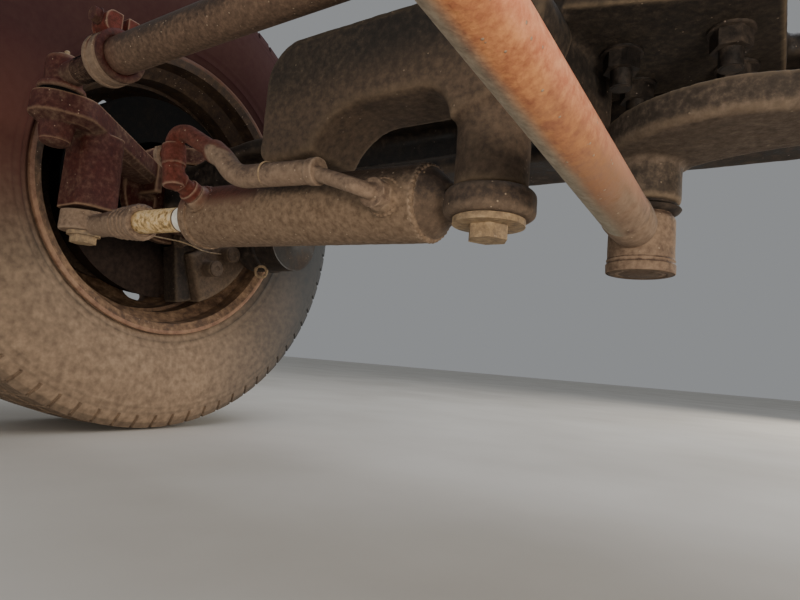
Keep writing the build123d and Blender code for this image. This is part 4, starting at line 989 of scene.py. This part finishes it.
# washers and thread ends under the bracket's nuts
bracketFacts = {
    "x": (119, 218), "y": (-168, -92), "face": -75, "end": -95, "threadRadius": 10.9, "threadLength": 18.5,
    "washer": [(0, 11.6), (0, 21), (2.5, 21), (3, 20), (3, 11.6)],
}
facts, washers = bracketFacts, []
for x in facts["x"]:
    for y in facts["y"]:
        washers += ring(at(x, y, facts["face"]), down, facts["washer"], 40)
        washers += stud(at(x, y, facts["end"]), down, facts["threadRadius"], facts["threadLength"])
addPiece("bracketWashers", washers, blackEnamel, "axle")
report("small parts of brakes and wheels")

# tyres; the ribs on the sidewall are (radius, width, height)
tyreFacts = {
    "blocks": 72, "grooveMm": (0, 56), "grooveWidthMm": 14, "grooveDepthMm": 13, "cutDepthMm": 5,
    "ribs": ((318, 3.0, 1.6), (332, 1.5, 0.8), (452, 1.5, 0.9), (463, 2.0, 1.2)),
    "treadRadius": 484, "shoulderOut": 82, "shoulderRadius": 468,
    "seat": ((94, 288.0), (104.5, 288.0), (106.5, 300.3)), "side": ((112, 304), (139.5, 388), (126, 475)),
    "shoulder": ((126, 475), (112, 495)), "crown": 4,
    "liner": ((-84, 288), (-125, 388), (-106, 468), (0, 474), (106, 468), (125, 388), (84, 288), (94, 288)),
}


def arcThrough(start, middle, end, count):
    # points of the circle through three points, evenly spaced by angle
    (ax, ay), (bx, by), (cx, cy) = start, middle, end
    d = 2 * (ax * (by - cy) + bx * (cy - ay) + cx * (ay - by))
    a2, b2, c2 = ax**2 + ay**2, bx**2 + by**2, cx**2 + cy**2
    x = (a2 * (by - cy) + b2 * (cy - ay) + c2 * (ay - by)) / d
    y = (a2 * (cx - bx) + b2 * (ax - cx) + c2 * (bx - ax)) / d
    radius = np.hypot(ax - x, ay - y)
    angles = np.unwrap([np.arctan2(py - y, px - x) for px, py in (start, middle, end)])
    sweep = np.linspace(angles[0], angles[2], count)
    return np.stack([x + radius * np.cos(sweep), y + radius * np.sin(sweep)], axis=1)


def tyreProfile(facts):
    # one half of the outer skin, from the bead to the middle of the tread: (out from the middle plane, radius)
    side = arcThrough(*facts["side"], 46)
    shoulder = np.linspace(*facts["shoulder"], 9)[1:]
    edge, height = facts["shoulder"][1]
    width = np.linspace(edge, 0, 57)[1:]
    crown = np.stack([width, height + facts["crown"] * (1 - width / edge)], axis=1)
    return np.concatenate([facts["seat"], side, shoulder, crown])


def makeTyre(name, node, body, facts):
    # the profile is turned about the wheel's axis; each point moves along the profile's normal by the ribs'
    # height less the depth of the grooves and of the cuts between the tread's blocks
    low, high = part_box(node)
    centre = (low + high) / 2
    half = tyreProfile(facts)
    outer = np.concatenate([half, half[-2::-1] * (-1, 1)])
    profile = np.concatenate([outer, facts["liner"]])
    x, r = profile.T
    step = np.gradient(profile, axis=0)
    normal = np.stack([-step[:, 1], step[:, 0]], axis=1)
    normal /= np.linalg.norm(normal, axis=1)[:, None]
    normal *= np.sign(normal[len(half), 1])
    isOuter = np.arange(len(profile)) < len(outer)
    # six angles to a block: the cut is open over three of them
    phase = np.array([0.0, 0.05, 0.09, 0.5, 0.91, 0.95])
    angle = ((np.arange(facts["blocks"])[:, None] + phase) * 2 * pi / facts["blocks"]).ravel()
    angle = np.append(angle, 2 * pi)
    cut = np.append(np.tile([1.0, 1.0, 0, 0, 0, 1.0], facts["blocks"]), 1.0)[:, None]
    tread = isOuter & (r > facts["treadRadius"])
    groove = np.zeros(len(x))
    for place in facts["grooveMm"]:
        groove = np.maximum(groove, np.abs(np.abs(x) - place) < facts["grooveWidthMm"] / 2)
    shoulderZone = isOuter & (np.abs(x) > facts["shoulderOut"]) & (r > facts["shoulderRadius"])
    depth = np.where(tread, groove * facts["grooveDepthMm"], 0)[None, :]
    depth = np.maximum(depth, cut * np.where(tread | shoulderZone, facts["cutDepthMm"], 0)[None, :])
    rise = np.zeros(len(x))
    for place, width, height in facts["ribs"]:
        rise += np.where(isOuter & (r < facts["treadRadius"]), height * np.exp(-(((r - place) / width) ** 2)), 0)
    shift = rise[None, :] - depth
    radial = r + shift * normal[:, 1]
    limit = (high.x - low.x) / 2 / mm - 0.2
    outward = np.clip(x + shift * normal[:, 0], -limit, limit)
    points = np.stack([centre.x + outward * mm, centre.y + radial * mm * np.cos(angle)[:, None],
                       centre.z + radial * mm * np.sin(angle)[:, None]], axis=-1)
    # what stands proud is 1: the tread's face and the ribs' tops
    relief = np.clip(np.where(r > facts["treadRadius"], 1.0, rise / 1.6)[None, :] - depth / 8, 0, 1)
    relief = np.broadcast_to(relief, points.shape[:2])
    piece = finishMesh(name, surfaceMesh(name, [points], relief), rubber, 32)
    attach(piece, body)
    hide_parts(node)


makeTyre("tyreLeft", "tyre_left", "wheel_left", tyreFacts)
makeTyre("tyreRight", "tyre_right", "wheel_right", tyreFacts)
report("tyres")

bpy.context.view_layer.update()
report("sizes written")
